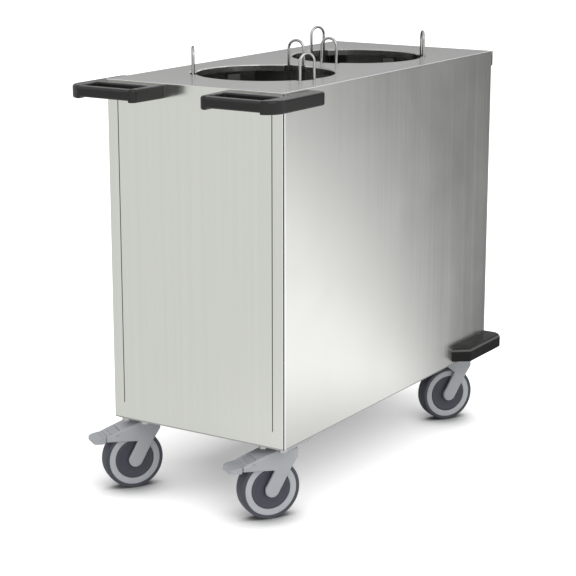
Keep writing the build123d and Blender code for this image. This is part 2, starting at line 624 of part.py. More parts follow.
def make_rollers(side):
    rollers = []
    start = CARRIAGE_HALF_WIDTH + ROLLER_GAP
    for z in ROLLER_Z:
        roller = rod((start, RAIL_CENTRE, z), (1, 0, 0), ROLLER_WIDTH, ROLLER_RADIUS)
        roller -= rod((start, RAIL_CENTRE, z), (1, 0, 0), ROLLER_WIDTH, ROLLER_AXLE / 2 + RUN_CLEAR)
        rollers += both_sides(roller)
    turn = Pos(0, MID_Y, 0) if side > 0 else Pos(0, MID_Y, 0) * Rot(0, 0, 180)
    return Compound(children=[turn * r for r in rollers])


def make_rails():
    """Upright channels, open towards each other in pairs, on the tower panels' inner faces."""
    y = (TOWER_INNER - RAIL_DEPTH, TOWER_INNER)
    z = (GUIDE_BASE_TOP, COVER_UNDER - HANGER_SHEET)
    rail = block((RAIL_X - RAIL_REACH, RAIL_X), y, z)
    rail -= block((RAIL_X - RAIL_REACH, RAIL_X - RAIL_SHEET),
                  (y[0] + RAIL_SHEET, y[1] - RAIL_SHEET), z)
    pair = both_sides(rail)
    return Compound(children=[Pos(0, MID_Y, 0) * Rot(0, 0, turn) * r
                              for turn in (0, 180) for r in pair])


def make_tower_panel(side):
    """Panel between a stack and the lift, slotted for the arms, with the carriage's stop."""
    panel = block((-TOWER_HALF_WIDTH, TOWER_HALF_WIDTH), (TOWER_INNER, TOWER_HALF),
                  (FLOOR_TOP, COVER_UNDER))
    edge = block((TOWER_HALF_WIDTH - PANEL_SHEET, TOWER_HALF_WIDTH),
                 (TOWER_HALF - TOWER_RETURN, TOWER_HALF), (FLOOR_TOP, COVER_UNDER))
    panel = fuse(panel, *both_sides(edge))
    slot = block((ARM_X - SLOT_WIDTH / 2, ARM_X + SLOT_WIDTH / 2), (TOWER_INNER, TOWER_HALF),
                 (PLATFORM_UNDER - ARM_HEIGHT - LIFT_TRAVEL - SLOT_WIDTH, PLATFORM_TOP))
    panel = cut(panel, both_sides(slot))
    stop_low = CARRIAGE_TOP + SEAT_CLEAR
    panel += block((-ROLLER_BOSS, ROLLER_BOSS), (RAIL_CENTRE - CARRIAGE_SHEET, TOWER_INNER),
                   (stop_low, stop_low + CARRIAGE_SHEET))
    turn = Pos(0, MID_Y, 0) if side > 0 else Pos(0, MID_Y, 0) * Rot(0, 0, 180)
    return turn * panel


def make_springs(name):
    """Two close-wound tension springs with an eye at each end, hooked over pins."""
    eye_inner = SPRING_LOOP - SPRING_WIRE / 2
    hang = eye_inner - SPRING_PIN / 2 - SEAT_CLEAR
    low_eye, high_eye = CARRIAGE_PIN_Z + hang, SPRING_TOP_PIN_Z - hang
    low, high = low_eye + SPRING_LOOP - OVERLAP, high_eye - SPRING_LOOP + OVERLAP
    coil = post(0, 0, (low, high), SPRING_RADIUS)
    coil -= post(0, 0, (low + SPRING_WIRE, high - SPRING_WIRE), SPRING_RADIUS - SPRING_WIRE)
    eyes = [Pos(0, 0, z) * Rot(90, 0, 0) * Torus(SPRING_LOOP, SPRING_WIRE / 2)
            for z in (low_eye, high_eye)]
    spring = fuse(coil, *eyes)
    return Compound(children=[Pos(x, MID_Y, 0) * spring for x in (-SPRING_X[name], SPRING_X[name])])


def make_spring_hanger():
    """Plate under the cover between the tower panels, with a web and four pins."""
    plate = block((-RAIL_X, RAIL_X), (-TOWER_INNER, TOWER_INNER),
                  (COVER_UNDER - HANGER_SHEET, COVER_UNDER))
    web_y = SPRING_RADIUS + HANGER_WEB_GAP
    web_half = SPRING_X["rear"] + HANGER_WEB_END
    web = block((-web_half, web_half), (web_y, web_y + HANGER_SHEET),
                (SPRING_TOP_PIN_Z - HANGER_WEB_DROP, COVER_UNDER - HANGER_SHEET))
    hanger = plate + web
    for x in SPRING_X.values():
        pin = rod((x, web_y, SPRING_TOP_PIN_Z), (0, -1, 0), web_y + SPRING_WIRE, SPRING_PIN / 2)
        hanger = fuse(hanger, *both_sides(pin))
    return Pos(0, MID_Y, 0) * hanger


# ---------------------------------------------------------------- casters
def caster_place(x, y):
    """A caster's own frame: +X is the way the wheel trails, the origin under the kingpin."""
    return Pos(x, y, 0) * Rot(0, 0, CASTER_YAW)


def bolt_places():
    return [(x + sx * BOLT_X / 2, y + sy * BOLT_Y / 2)
            for x, y in CASTERS.values() for sx in (-1, 1) for sy in (-1, 1)]


def make_caster_bolts():
    """Hexagon bolts with their nuts, from under each caster plate through the floor pan."""
    bolts = []
    for x, y in bolt_places():
        hexagon = Rot(0, 0, 30) * RegularPolygon(BOLT_HEAD / 2, 6, major_radius=False)
        head = extrude(Pos(x, y, PLATE_UNDER - BOLT_HEAD_HEIGHT) * hexagon, BOLT_HEAD_HEIGHT)
        nut = extrude(Pos(x, y, FLOOR_TOP) * hexagon, NUT_HEIGHT)
        shank = post(x, y, (PLATE_UNDER - OVERLAP, FLOOR_TOP + NUT_HEIGHT + BOLT_PROUD),
                     BOLT_RADIUS)
        bolts.append(fuse(head, nut, shank))
    return Compound(children=bolts)


def make_caster_plate(x, y):
    """Top plate with the swivel race and the kingpin that carries the fork."""
    plate = block((-PLATE_X / 2, PLATE_X / 2), (-PLATE_Y / 2, PLATE_Y / 2),
                  (PLATE_UNDER, BODY_BOTTOM))
    plate = fillet(plate.edges().filter_by(Axis.Z), PLATE_CORNER)
    for sx in (-1, 1):
        for sy in (-1, 1):
            plate -= post(sx * BOLT_X / 2, sy * BOLT_Y / 2, (PLATE_UNDER, BODY_BOTTOM),
                          BOLT_RADIUS + SCREW_CLEAR)
    race = post(0, 0, (FORK_TOP + SEAT_CLEAR, PLATE_UNDER), RACE_RADIUS)
    head_top = KINGPIN_HEAD_TOP
    pin = post(0, 0, (head_top - OVERLAP, PLATE_UNDER), KINGPIN_RADIUS)
    head = post(0, 0, (head_top - KINGPIN_HEAD_HEIGHT, head_top), KINGPIN_HEAD)
    return Pos(x, y, 0) * fuse(plate, race, pin, head)


def crown_heights(points):
    """Corners given above the crown's underside, as heights above the floor."""
    return [(x, CROWN_UNDERSIDE + z) for x, z in points]


def fork_side_outline(hooded):
    """Side outline of the fork's crown, with the hood of a braked caster."""
    heel = [(FORK_HEEL_X, -FORK_HEEL_DROP), (FORK_HEEL_X, CROWN_THICK)]
    front = HOOD_TOP + HOOD_SIDE if hooded else OPEN_CROWN
    return crown_heights(heel + front + [CROWN_HEEL])


def make_fork(hooded):
    """Moulded fork: crown, two legs and, with a brake, a hood over the wheel."""
    side = Plane.XZ
    crown = prism(fork_side_outline(hooded), -FORK_HALF, FORK_HALF, side)
    (top,), foot = crown_heights([LEG_TOP]), (WHEEL_TRAIL, WHEEL_RADIUS)
    run = (foot[0] - top[0], foot[1] - top[1])
    length = sqrt(run[0] ** 2 + run[1] ** 2)
    lean = degrees(asin(run[0] / length))
    middle = ((top[0] + foot[0]) / 2, (top[1] + foot[1]) / 2)
    leg = side.offset(-FORK_HALF) * Pos(*middle) * Rot(0, 0, 90 + lean) * SlotOverall(
        length + FORK_LEG, FORK_LEG)
    legs = extrude(leg, 2 * FORK_HALF)
    reach = CAVITY_REACH
    cavity = [(reach, 0.0), (-reach, 0.0), (-reach, CROWN_UNDERSIDE)]
    if hooded:
        crest, lip = crown_heights([HOOD_CREST, HOOD_LIP])
        cavity += [(HOOD_SIDE[1][0], CROWN_UNDERSIDE), (crest[0], crest[1] - HOOD_WALL),
                   (lip[0], lip[1] - HOOD_WALL), (lip[0], 2 * reach), (reach, 2 * reach)]
    else:
        cavity.append((reach, CROWN_UNDERSIDE))
    fork = crown + legs
    fork = fork & block((FORK_HEEL_X, reach), (-FORK_HALF, FORK_HALF), (0, FORK_TOP))
    fork = fillet([e for e in fork.edges() if abs(abs((e @ 0.5).Y) - FORK_HALF) < 0.01], FORK_EDGE)
    fork -= prism(cavity, -CAVITY_HALF, CAVITY_HALF, side)
    fork -= post(0, 0, (CROWN_UNDERSIDE - OVERLAP, KINGPIN_HEAD_TOP + SEAT_CLEAR),
                 KINGPIN_HEAD + SEAT_CLEAR)
    fork -= post(0, 0, (CROWN_UNDERSIDE, FORK_TOP), KINGPIN_RADIUS + RUN_CLEAR)
    fork -= rod((WHEEL_TRAIL, -axle_half(), WHEEL_RADIUS), (0, 1, 0), 2 * axle_half(),
                AXLE_RADIUS + RUN_CLEAR)
    if hooded:
        fork -= pivot_rod(FORK_HALF, PEDAL_PIN + RUN_CLEAR)
    return fork


def pivot_rod(half_length, radius):
    """A rod along the pedal's pivot, centred on the caster."""
    ((x, z),) = crown_heights([PEDAL_PIVOT])
    return rod((x, -half_length, z), (0, 1, 0), 2 * half_length, radius)


def axle_half():
    """The axle's ends stay just inside the fork's outer faces."""
    return FORK_HALF - AXLE_INSET


def make_axle():
    return rod((WHEEL_TRAIL, -axle_half(), WHEEL_RADIUS), (0, 1, 0), 2 * axle_half(), AXLE_RADIUS)


def turned(points):
    """A ring round the wheel's axle from a half profile of (radius, width) corners."""
    half = [(r, w) for r, w in points]
    outline = half + [(r, -w) for r, w in reversed(half)]
    face = Plane.XY * make_face(Polyline(*outline, close=True))
    ring = revolve(face, Axis.Y, 360)
    return Pos(WHEEL_TRAIL, 0, WHEEL_RADIUS) * ring


def make_wheel_core():
    """Pale rim ring, web and bored hub."""
    hub_half, rim_half = CAVITY_HALF - SEAT_CLEAR, TREAD_WIDTH / 2
    return turned([(AXLE_RADIUS + RUN_CLEAR, hub_half), (HUB_RADIUS, hub_half),
                   (HUB_RADIUS, WEB_HALF), (CAP_RADIUS - CAP_LIP, WEB_HALF),
                   (CAP_RADIUS - CAP_LIP, CAP_SEAT), (CAP_RADIUS, CAP_SEAT),
                   (CAP_RADIUS, rim_half), (TYRE_INNER - RIM_EDGE, rim_half),
                   (TYRE_INNER, rim_half - RIM_EDGE)])


def make_wheel_caps():
    """A dark cover disc on each side of the web."""
    caps = []
    inner = HUB_RADIUS + SEAT_CLEAR
    for side in (-1, 1):
        start = (WHEEL_TRAIL, side * CAP_SEAT, WHEEL_RADIUS)
        direction = (0, side, 0)
        cap = rod(start, direction, CAP_FACE - CAP_SEAT, CAP_RADIUS - CAP_FIT)
        cap -= rod(start, direction, CAP_FACE - CAP_SEAT, inner)
        caps.append(cap)
    return caps


def make_tyre():
    """Crowned tread: its half section is an arc between two rounded shoulders."""
    half, flank = TREAD_WIDTH / 2, TREAD_WIDTH / 2 - TREAD_SHOULDER
    shoulder = WHEEL_RADIUS - TREAD_CROWN
    side = shoulder - TREAD_SHOULDER
    tread = ThreePointArc((shoulder, flank), (WHEEL_RADIUS, 0), (shoulder, -flank))
    outline = tread + Polyline((shoulder, -flank), (side, -half), (TYRE_INNER, -half),
                               (TYRE_INNER, half), (side, half), (shoulder, flank))
    ring = revolve(make_face(outline), Axis.Y, 360)
    return Pos(WHEEL_TRAIL, 0, WHEEL_RADIUS) * ring


def make_brake_pedal():
    """Rocking pedal in the hood's open end: pivot pin, ridged top and broad tip."""
    inner_half = CAVITY_HALF - SEAT_CLEAR
    tongue = prism(crown_heights(TONGUE_TOP + TONGUE_UNDER), -inner_half, inner_half, Plane.XZ)
    tip = prism(crown_heights(TIP_SIDE), -PEDAL_HALF, PEDAL_HALF, Plane.XZ)
    tip_plan = Pos(PEDAL_TIP - PEDAL_HALF, 0) * RectangleRounded(
        2 * PEDAL_HALF, 2 * PEDAL_HALF, PEDAL_CORNER)
    pedal = tongue + (tip & extrude(tip_plan, FORK_TOP))
    (start, high), (end, low) = TONGUE_TOP
    for x, half in ((RIDGE_X[0], inner_half), (RIDGE_X[1], inner_half),
                    (RIDGE_X[2], PEDAL_HALF - RIDGE_WIDTH)):
        top = max(high + (low - high) * (x - start) / (end - start), TIP_RIDGE_SEAT)
        seat = CROWN_UNDERSIDE + top
        pedal += block((x - RIDGE_WIDTH / 2, x + RIDGE_WIDTH / 2), (-half, half),
                       (seat - OVERLAP, seat + RIDGE_HEIGHT))
    return pedal + pivot_rod(FORK_HALF - PEDAL_PIN_INSET, PEDAL_PIN)


# ---------------------------------------------------------------- assembly
def build_cabinet():
    parts["top_cover"] = make_top_cover()
    side_panel = make_side_panel()
    parts["side_panel_right"], parts["side_panel_left"] = both_sides(side_panel)
    parts["front_panel"] = make_front_panel()
    parts["rear_panel"] = make_rear_panel()
    parts["base_frame"] = make_base_frame()
    parts["corner_posts"] = make_corner_posts()
    parts["push_handle_right"], parts["push_handle_left"] = both_sides(make_handle())
    parts["rear_bumper_right"], parts["rear_bumper_left"] = both_sides(make_rear_bumper())
    parts["bumper_screws"] = make_bumper_screws()
    parts["caster_bolts"] = make_caster_bolts()
    parts["spring_hanger"] = make_spring_hanger()


def build_stacks():
    parts["well_posts"] = make_well_posts()
    parts["lift_rails"] = make_rails()
    for name, side in STACKS.items():
        for number, angle in enumerate(guide_angles(name), start=1):
            parts[f"plate_guide_{name}_{number}"] = make_guide(name, angle)
        parts[f"guide_base_{name}"] = make_guide_base(name, side)
        parts[f"platform_{name}"] = make_platform(name)
        parts[f"lift_carriage_{name}"] = make_carriage(name, side)
        parts[f"lift_rollers_{name}"] = make_rollers(side)
        parts[f"tower_panel_{name}"] = make_tower_panel(side)
        parts[f"lift_springs_{name}"] = make_springs(name)


def build_casters():
    forks = {hooded: make_fork(hooded) for hooded in (True, False)}
    core, tyre, axle, caps = make_wheel_core(), make_tyre(), make_axle(), make_wheel_caps()
    pedal = make_brake_pedal()
    for name, (x, y) in CASTERS.items():
        place, hooded = caster_place(x, y), name.startswith("front")
        parts[f"caster_plate_{name}"] = make_caster_plate(x, y)
        parts[f"caster_fork_{name}"] = place * forks[hooded]
        parts[f"wheel_core_{name}"] = place * core
        parts[f"wheel_tyre_{name}"] = place * tyre
        parts[f"wheel_axle_{name}"] = place * axle
        parts[f"wheel_caps_{name}"] = Compound(children=[place * cap for cap in caps])
        if hooded:
            parts[f"brake_pedal_{name}"] = place * pedal


def main():
    build_cabinet()
    build_stacks()
    build_casters()
    os.makedirs("parts", exist_ok=True)
    for name, shape in parts.items():
        export_step(shape, f"parts/{name}.step")


main()
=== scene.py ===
"""Plate dispenser cart: the finishes and moulded detail around its packed construction model.

Metres, +Z up, in the row frame: the origin on the floor, the push handles facing -Y.
"""
import json
from math import cos, pi, radians, sin, tau

import bpy
from bpy.props import FloatProperty, FloatVectorProperty, IntProperty, PointerProperty
from mathutils import Matrix, Vector

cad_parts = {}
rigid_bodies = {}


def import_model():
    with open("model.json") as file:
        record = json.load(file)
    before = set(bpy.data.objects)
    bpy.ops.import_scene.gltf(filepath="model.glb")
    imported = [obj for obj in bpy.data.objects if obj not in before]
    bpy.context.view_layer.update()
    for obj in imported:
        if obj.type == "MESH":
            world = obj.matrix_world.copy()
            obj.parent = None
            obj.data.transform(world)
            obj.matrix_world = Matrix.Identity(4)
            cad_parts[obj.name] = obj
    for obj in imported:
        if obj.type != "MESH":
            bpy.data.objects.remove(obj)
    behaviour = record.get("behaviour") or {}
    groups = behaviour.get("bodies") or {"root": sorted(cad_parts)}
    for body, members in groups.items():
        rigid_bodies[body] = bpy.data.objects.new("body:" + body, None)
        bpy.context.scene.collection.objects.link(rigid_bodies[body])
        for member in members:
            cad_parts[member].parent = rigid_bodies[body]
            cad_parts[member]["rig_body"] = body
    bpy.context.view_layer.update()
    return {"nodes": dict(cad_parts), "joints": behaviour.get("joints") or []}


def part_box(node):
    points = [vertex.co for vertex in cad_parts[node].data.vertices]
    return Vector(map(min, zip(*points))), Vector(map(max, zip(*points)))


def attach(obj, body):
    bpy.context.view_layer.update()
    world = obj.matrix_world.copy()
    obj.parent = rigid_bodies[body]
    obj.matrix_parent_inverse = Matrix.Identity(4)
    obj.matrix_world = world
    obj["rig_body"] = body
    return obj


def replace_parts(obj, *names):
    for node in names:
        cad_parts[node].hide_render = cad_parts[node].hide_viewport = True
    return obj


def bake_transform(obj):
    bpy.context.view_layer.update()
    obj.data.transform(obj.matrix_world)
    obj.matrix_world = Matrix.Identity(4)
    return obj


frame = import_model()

bl_info = {
    "name": "Plate dispenser cart",
    "version": (1, 0, 0),
    "blender": (4, 5, 0),
    "location": "3D View > Sidebar > Cart",
    "description": "Finishes and moulded detail of a two-stack plate dispenser cart",
    "category": "Add Mesh",
}

JOINTS = {joint["name"]: joint for joint in frame["joints"]}
CASTERS = ("front_left", "front_right", "rear_left", "rear_right")
STACKS = ("front", "rear")
SIDES = ("left", "right")
MM = 0.001

# steel: a brushing's lines run along the axis with its small number
UPRIGHT, LENGTHWAYS = (900.0, 900.0, 6.0), (900.0, 6.0, 900.0)
LINE_GLOSS = 0.03                     # how far the lines sway the roughness
LINE_BUMP, LINE_DEPTH = 0.12, 0.02 * MM
DECK_PAINTED_SHADING = (1.20, 0.76)             # painted light and shade: the deck's colour scaled from its front to its rear, lighter at the front, darker at the rear
GROOVE_FROM_EDGE, GROOVE_WIDTH = 27.0 * MM, 2.2 * MM       # the front panel's two grooves
GROOVE_ABOVE_EDGE, GROOVE_BELOW_TOP = 34.0 * MM, 36.0 * MM
HEM_REACH, FOLD_REACH = 2.5 * MM, 2.4 * MM                 # the reach of a lower hem's painted shade and of a fold's painted highlight
# painted shade in the grooves and along the hems, painted highlight on the folds
GROOVE_PAINTED_SHADE, HEM_PAINTED_SHADE, FOLD_PAINTED_HIGHLIGHT = (0.16, 0.16, 0.155), (0.50, 0.50, 0.49), (1.0, 1.0, 1.0)

# wire
DRAW_LINES = (2600.0, 2600.0, 60.0)
WIRE_TONE, WIRE_GLOSS = 0.06, (-0.03, 0.05)          # how far the lines sway tone and roughness
WIRE_RIM_SHADE = (0.05, 0.05, 0.05, 1.0)             # the dark that its outlines go to

# plastic and rubber
PLASTIC_TONE, PLASTIC_GLOSS = 0.07, (-0.04, 0.06)    # the same for the grain and the smudges
GRAIN_BUMP = 0.35
WORN_EDGE = 1.9                       # a rubbed edge's tone against the plain plastic's
BUMPER_SHARE, PEDAL_SHARE = 1.4, 0.88                # theirs against the handles' and forks'
RIM_HIGHLIGHT_TONE, RIM_HIGHLIGHT_COVER = (0.14, 0.14, 0.14), 0.85       # a bumper's painted highlight along its rounding
RIM_HIGHLIGHT_TILT, RIM_HIGHLIGHT_FADE = 0.55, (0.10, 0.32)              # its slope, and how far off it the painted highlight fades

# the studio: brightness by bearing, counter-clockwise from +X
SURROUND = ((-180, 0.62), (-120, 0.69), (-60, 0.92), (0, 1.0), (48, 1.06), (54.5, 0.72),
            (59, 0.36), (63, 0.19), (69, 0.12), (76, 0.12), (84, 0.42), (92, 0.58),
            (105, 0.50), (130, 0.44), (180, 0.62))


# ---------------------------------------------------------------- user's sizes and colours
def length_property(name, description, default):
    """A length that a user can set, in metres."""
    return FloatProperty(name=name, description=description, default=default,
                         min=0.0, subtype="DISTANCE", unit="LENGTH")


def colour_property(name, description, default):
    """A colour that a user can set."""
    return FloatVectorProperty(name=name, description=description, default=default,
                               min=0.0, max=1.0, size=3, subtype="COLOR")


class CartSizes(bpy.types.PropertyGroup):
    """Sizes of the moulded, turned and wound pieces."""
    moulding_voxel: length_property(
        "Moulding voxel", "Mesh size of the handles and bumpers", 1.0 * MM)
    fork_voxel: length_property("Fork voxel", "Mesh size of the caster forks", 1.1 * MM)
    moulding_passes: IntProperty(
        name="Moulding passes", description="Smoothing passes that soften a moulding's edges",
        default=3, min=0)
    wheel_segments: IntProperty(
        name="Wheel segments", description="Facets round a tyre, rim or cover disc",
        default=128, min=16)
    spring_wire: length_property("Spring wire", "Wire diameter of the lift springs", 2.4 * MM)
    spring_radius: length_property("Spring radius", "Outer radius of the lift springs", 7.0 * MM)
    spring_turns: IntProperty(
        name="Spring turns", description="Close-wound turns of one lift spring", default=60, min=4)


class CartColours(bpy.types.PropertyGroup):
    """Colours of the finishes, as linear values."""
    deck: colour_property("Deck", "Brushed deck steel", (0.64, 0.64, 0.63))
    panel: colour_property("Panels", "Brushed panel steel", (0.88, 0.88, 0.85))
    front: colour_property("Front", "Brushed steel of the front panel", (0.875, 0.892, 0.832))
    wire: colour_property("Wire", "Bright guide wire", (0.52, 0.52, 0.51))
    inner_steel: colour_property("Inner steel", "Dull steel inside the wells", (0.20, 0.20, 0.195))
    bumper: colour_property("Bumpers", "Black moulded plastic", (0.014, 0.014, 0.0135))
    fork: colour_property("Forks", "Grey moulded plastic", (0.415, 0.430, 0.455))
    rim: colour_property("Rims", "Light grey rim", (0.475, 0.490, 0.515))
    tyre: colour_property("Tyres", "Dark blue-grey rubber", (0.068, 0.071, 0.090))
    cap: colour_property("Cover discs", "Dark grey cover discs", (0.060, 0.062, 0.082))
    zinc: colour_property("Zinc", "Plated fasteners and caster plates", (0.60, 0.61, 0.60))
    nylon: colour_property("Nylon", "Natural nylon rollers", (0.78, 0.77, 0.72))
    floor: colour_property("Floor", "Pale studio floor", (0.90, 0.90, 0.90))


def sizes():
    """The sizes as the user has them."""
    return bpy.context.scene.cart_sizes


def colours():
    """The colours as the user has them."""
    return bpy.context.scene.cart_colours


# ---------------------------------------------------------------- shader helpers
def add_node(tree, kind, **settings):
    """A new node; a setting sets the node's own value, or else the socket of that name."""
    node = tree.nodes.new(kind)
    for key, value in settings.items():
        if hasattr(node, key) and key not in node.inputs:
            setattr(node, key, value)
        else:
            node.inputs[key.replace("_", " ")].default_value = value
    return node


def wire_up(tree, *pairs):
    """Links each output to its input."""
    for source, target in pairs:
        tree.links.new(source, target)


def new_group(name, inputs, outputs):
    """A shader node group with named float, vector or colour sockets."""
    group = bpy.data.node_groups.new(name, "ShaderNodeTree")
    for socket, kind, default in inputs:
        made = group.interface.new_socket(socket, in_out="INPUT", socket_type=kind)
        made.default_value = default
    for socket, kind in outputs:
        group.interface.new_socket(socket, in_out="OUTPUT", socket_type=kind)
    start = group.nodes.new("NodeGroupInput")
    end = group.nodes.new("NodeGroupOutput")
    return group, start, end


def brushed_group():
    """Fine parallel lines along one axis: a tone and a height, both about 0.5."""
    group, start, end = new_group(
        "Brushed lines",
        [("Vector", "NodeSocketVector", (0, 0, 0)), ("Stretch", "NodeSocketVector", (1, 1, 1)),
         ("Fine Share", "NodeSocketFloat", 0.5)],
        [("Tone", "NodeSocketFloat"), ("Height", "NodeSocketFloat")])
    stretched = add_node(group, "ShaderNodeVectorMath", operation="MULTIPLY")
    broad = add_node(group, "ShaderNodeTexNoise", Scale=0.11, Detail=4.0, Roughness=0.6)
    fine = add_node(group, "ShaderNodeTexNoise", Scale=1.0, Detail=3.0, Roughness=0.65)
    mix = add_node(group, "ShaderNodeMix", data_type="FLOAT")
    wire_up(group, (start.outputs["Vector"], stretched.inputs[0]),
            (start.outputs["Stretch"], stretched.inputs[1]),
            (stretched.outputs[0], broad.inputs["Vector"]),
            (stretched.outputs[0], fine.inputs["Vector"]),
            (start.outputs["Fine Share"], mix.inputs[0]),
            (broad.outputs["Fac"], mix.inputs[2]), (fine.outputs["Fac"], mix.inputs[3]),
            (mix.outputs[0], end.inputs["Tone"]), (fine.outputs["Fac"], end.inputs["Height"]))
    return group


def smudge_group():
    """Soft cloudy marks of handling and cleaning, 0 to 1."""
    group, start, end = new_group(
        "Handling smudges",
        [("Vector", "NodeSocketVector", (0, 0, 0)), ("Size", "NodeSocketFloat", 6.0)],
        [("Mask", "NodeSocketFloat")])
    cloud = add_node(group, "ShaderNodeTexNoise", Detail=5.0, Roughness=0.55, Distortion=0.6)
    spread = add_node(group, "ShaderNodeMapRange", From_Min=0.35, From_Max=0.7)
    wire_up(group, (start.outputs["Vector"], cloud.inputs["Vector"]),
            (start.outputs["Size"], cloud.inputs["Scale"]),
            (cloud.outputs["Fac"], spread.inputs["Value"]),
            (spread.outputs["Result"], end.inputs["Mask"]))
    return group


def edge_group():
    """Rubbed convex edges, broken up by noise, 0 to 1."""
    group, start, end = new_group(
        "Rubbed edges",
        [("Vector", "NodeSocketVector", (0, 0, 0)), ("Amount", "NodeSocketFloat", 0.5)],
        [("Mask", "NodeSocketFloat")])
    geometry = add_node(group, "ShaderNodeNewGeometry")
    edge = add_node(group, "ShaderNodeMapRange", From_Min=0.52, From_Max=0.62)
    noise = add_node(group, "ShaderNodeTexNoise", Scale=220.0, Detail=3.0)
    broken = add_node(group, "ShaderNodeMath", operation="MULTIPLY")
    scaled = add_node(group, "ShaderNodeMath", operation="MULTIPLY", use_clamp=True)
    wire_up(group, (geometry.outputs["Pointiness"], edge.inputs["Value"]),
            (start.outputs["Vector"], noise.inputs["Vector"]),
            (edge.outputs["Result"], broken.inputs[0]), (noise.outputs["Fac"], broken.inputs[1]),
            (broken.outputs[0], scaled.inputs[0]), (start.outputs["Amount"], scaled.inputs[1]),
            (scaled.outputs[0], end.inputs["Mask"]))
    return group


def grain_group():
    """The fine eroded grain of moulded plastic or rubber: a tone and a height."""
    group, start, end = new_group(
        "Moulded grain",
        [("Vector", "NodeSocketVector", (0, 0, 0)), ("Scale", "NodeSocketFloat", 900.0)],
        [("Tone", "NodeSocketFloat"), ("Height", "NodeSocketFloat")])
    pits = add_node(group, "ShaderNodeTexNoise", Detail=2.0, Roughness=0.5)
    tone = add_node(group, "ShaderNodeTexNoise", Scale=38.0, Detail=4.0)
    wire_up(group, (start.outputs["Vector"], pits.inputs["Vector"]),
            (start.outputs["Scale"], pits.inputs["Scale"]),
            (start.outputs["Vector"], tone.inputs["Vector"]),
            (tone.outputs["Fac"], end.inputs["Tone"]), (pits.outputs["Fac"], end.inputs["Height"]))
    return group


def surround_group():
    """The studio's brightness by bearing: open to the front right, dim to the rear right."""
    group, start, end = new_group(
        "Studio surround",
        [("Vector", "NodeSocketVector", (0, 0, 0))],
        [("Level", "NodeSocketFloat")])
    split = add_node(group, "ShaderNodeSeparateXYZ")
    bearing = add_node(group, "ShaderNodeMath", operation="ARCTAN2")
    turn = add_node(group, "ShaderNodeMapRange", From_Min=-pi, From_Max=pi)
    ramp = add_node(group, "ShaderNodeValToRGB")
    ramp.color_ramp.interpolation = "EASE"
    for degrees, level in SURROUND:
        position = (degrees + 180.0) / 360.0
        stop = ramp.color_ramp.elements.new(position) if 0 < position < 1 else \
            ramp.color_ramp.elements[0 if position == 0 else -1]
        stop.position, stop.color = position, (level, level, level, 1.0)
    wire_up(group, (start.outputs["Vector"], split.inputs[0]),
            (split.outputs["Y"], bearing.inputs[0]), (split.outputs["X"], bearing.inputs[1]),
            (bearing.outputs[0], turn.inputs["Value"]), (turn.outputs["Result"], ramp.inputs[0]),
            (ramp.outputs[0], end.inputs["Level"]))
    return group


GROUP_MAKERS = {"brushed": brushed_group, "smudge": smudge_group, "edge": edge_group,
                "grain": grain_group, "surround": surround_group}
GROUPS = {}


def group_node(tree, key, **settings):
    """One of the shared effects, placed in a material; each is built once."""
    if key not in GROUPS:
        GROUPS[key] = GROUP_MAKERS[key]()
    node = tree.nodes.new("ShaderNodeGroup")
    node.node_tree = GROUPS[key]
    for name, value in settings.items():
        node.inputs[name.replace("_", " ")].default_value = value
    return node


def start_material(name):
    """A material with its shader, its output and the object's own coordinates."""
    material = bpy.data.materials.new(name)
    material.use_nodes = True
    tree = material.node_tree
    tree.nodes.clear()
    shader = tree.nodes.new("ShaderNodeBsdfPrincipled")
    output = tree.nodes.new("ShaderNodeOutputMaterial")
    place = tree.nodes.new("ShaderNodeTexCoord").outputs["Object"]
    tree.links.new(shader.outputs["BSDF"], output.inputs["Surface"])
    return material, tree, shader, place


def shaded(colour, factor):
    """The colour, darker or lighter, with an alpha of 1."""
    return (*[min(1.0, channel * factor) for channel in colour], 1.0)


def tone_colour(tree, colour, spread, tone):
    """The colour, a little darker and lighter by the tone."""
    mix = add_node(tree, "ShaderNodeMix", data_type="RGBA")
    mix.inputs[6].default_value = shaded(colour, 1.0 - spread)
    mix.inputs[7].default_value = shaded(colour, 1.0 + spread)
    tree.links.new(tone, mix.inputs[0])
    return mix.outputs[2]


def spread_value(tree, low, high, value):
    """The value's range 0.3 to 0.7, spread from low to high."""
    spread = add_node(tree, "ShaderNodeMapRange", From_Min=0.3, From_Max=0.7,
                      To_Min=low, To_Max=high)
    tree.links.new(value, spread.inputs["Value"])
    return spread.outputs["Result"]


def add_bump(tree, shader, height, strength, distance):
    """Lays a fine height on the surface."""
    bump = add_node(tree, "ShaderNodeBump", Strength=strength, Distance=distance)
    wire_up(tree, (height, bump.inputs["Height"]),
            (bump.outputs["Normal"], shader.inputs["Normal"]))


# ---------------------------------------------------------------- finishes
def brushed_steel(name, colour, roughness, stretch, along, contrast, anisotropy=0.0,
                  marks=0.05):
    """Brushed sheet: lines along one axis, blurred reflections across them, soft smudges."""
    material, tree, shader, place = start_material(name)
    lines = group_node(tree, "brushed", Stretch=stretch, Fine_Share=0.45)
    smudges = group_node(tree, "smudge", Size=5.0)
    wire_up(tree, (place, lines.inputs["Vector"]), (place, smudges.inputs["Vector"]))
    rough = spread_value(tree, roughness - LINE_GLOSS, roughness + LINE_GLOSS,
                         lines.outputs["Tone"])
    rubbed = add_node(tree, "ShaderNodeMath", operation="MULTIPLY_ADD")
    rubbed.inputs[1].default_value = marks
    wire_up(tree, (smudges.outputs["Mask"], rubbed.inputs[0]), (rough, rubbed.inputs[2]),
            (rubbed.outputs[0], shader.inputs["Roughness"]),
            (tone_colour(tree, colour, contrast, lines.outputs["Tone"]),
             shader.inputs["Base Color"]))
    add_bump(tree, shader, lines.outputs["Height"], LINE_BUMP, LINE_DEPTH)
    shader.inputs["Metallic"].default_value = 1.0
    if anisotropy:
        tangent = add_node(tree, "ShaderNodeTangent", direction_type="RADIAL", axis=along)
        tree.links.new(tangent.outputs[0], shader.inputs["Tangent"])
        shader.inputs["Anisotropic"].default_value = anisotropy
    return material


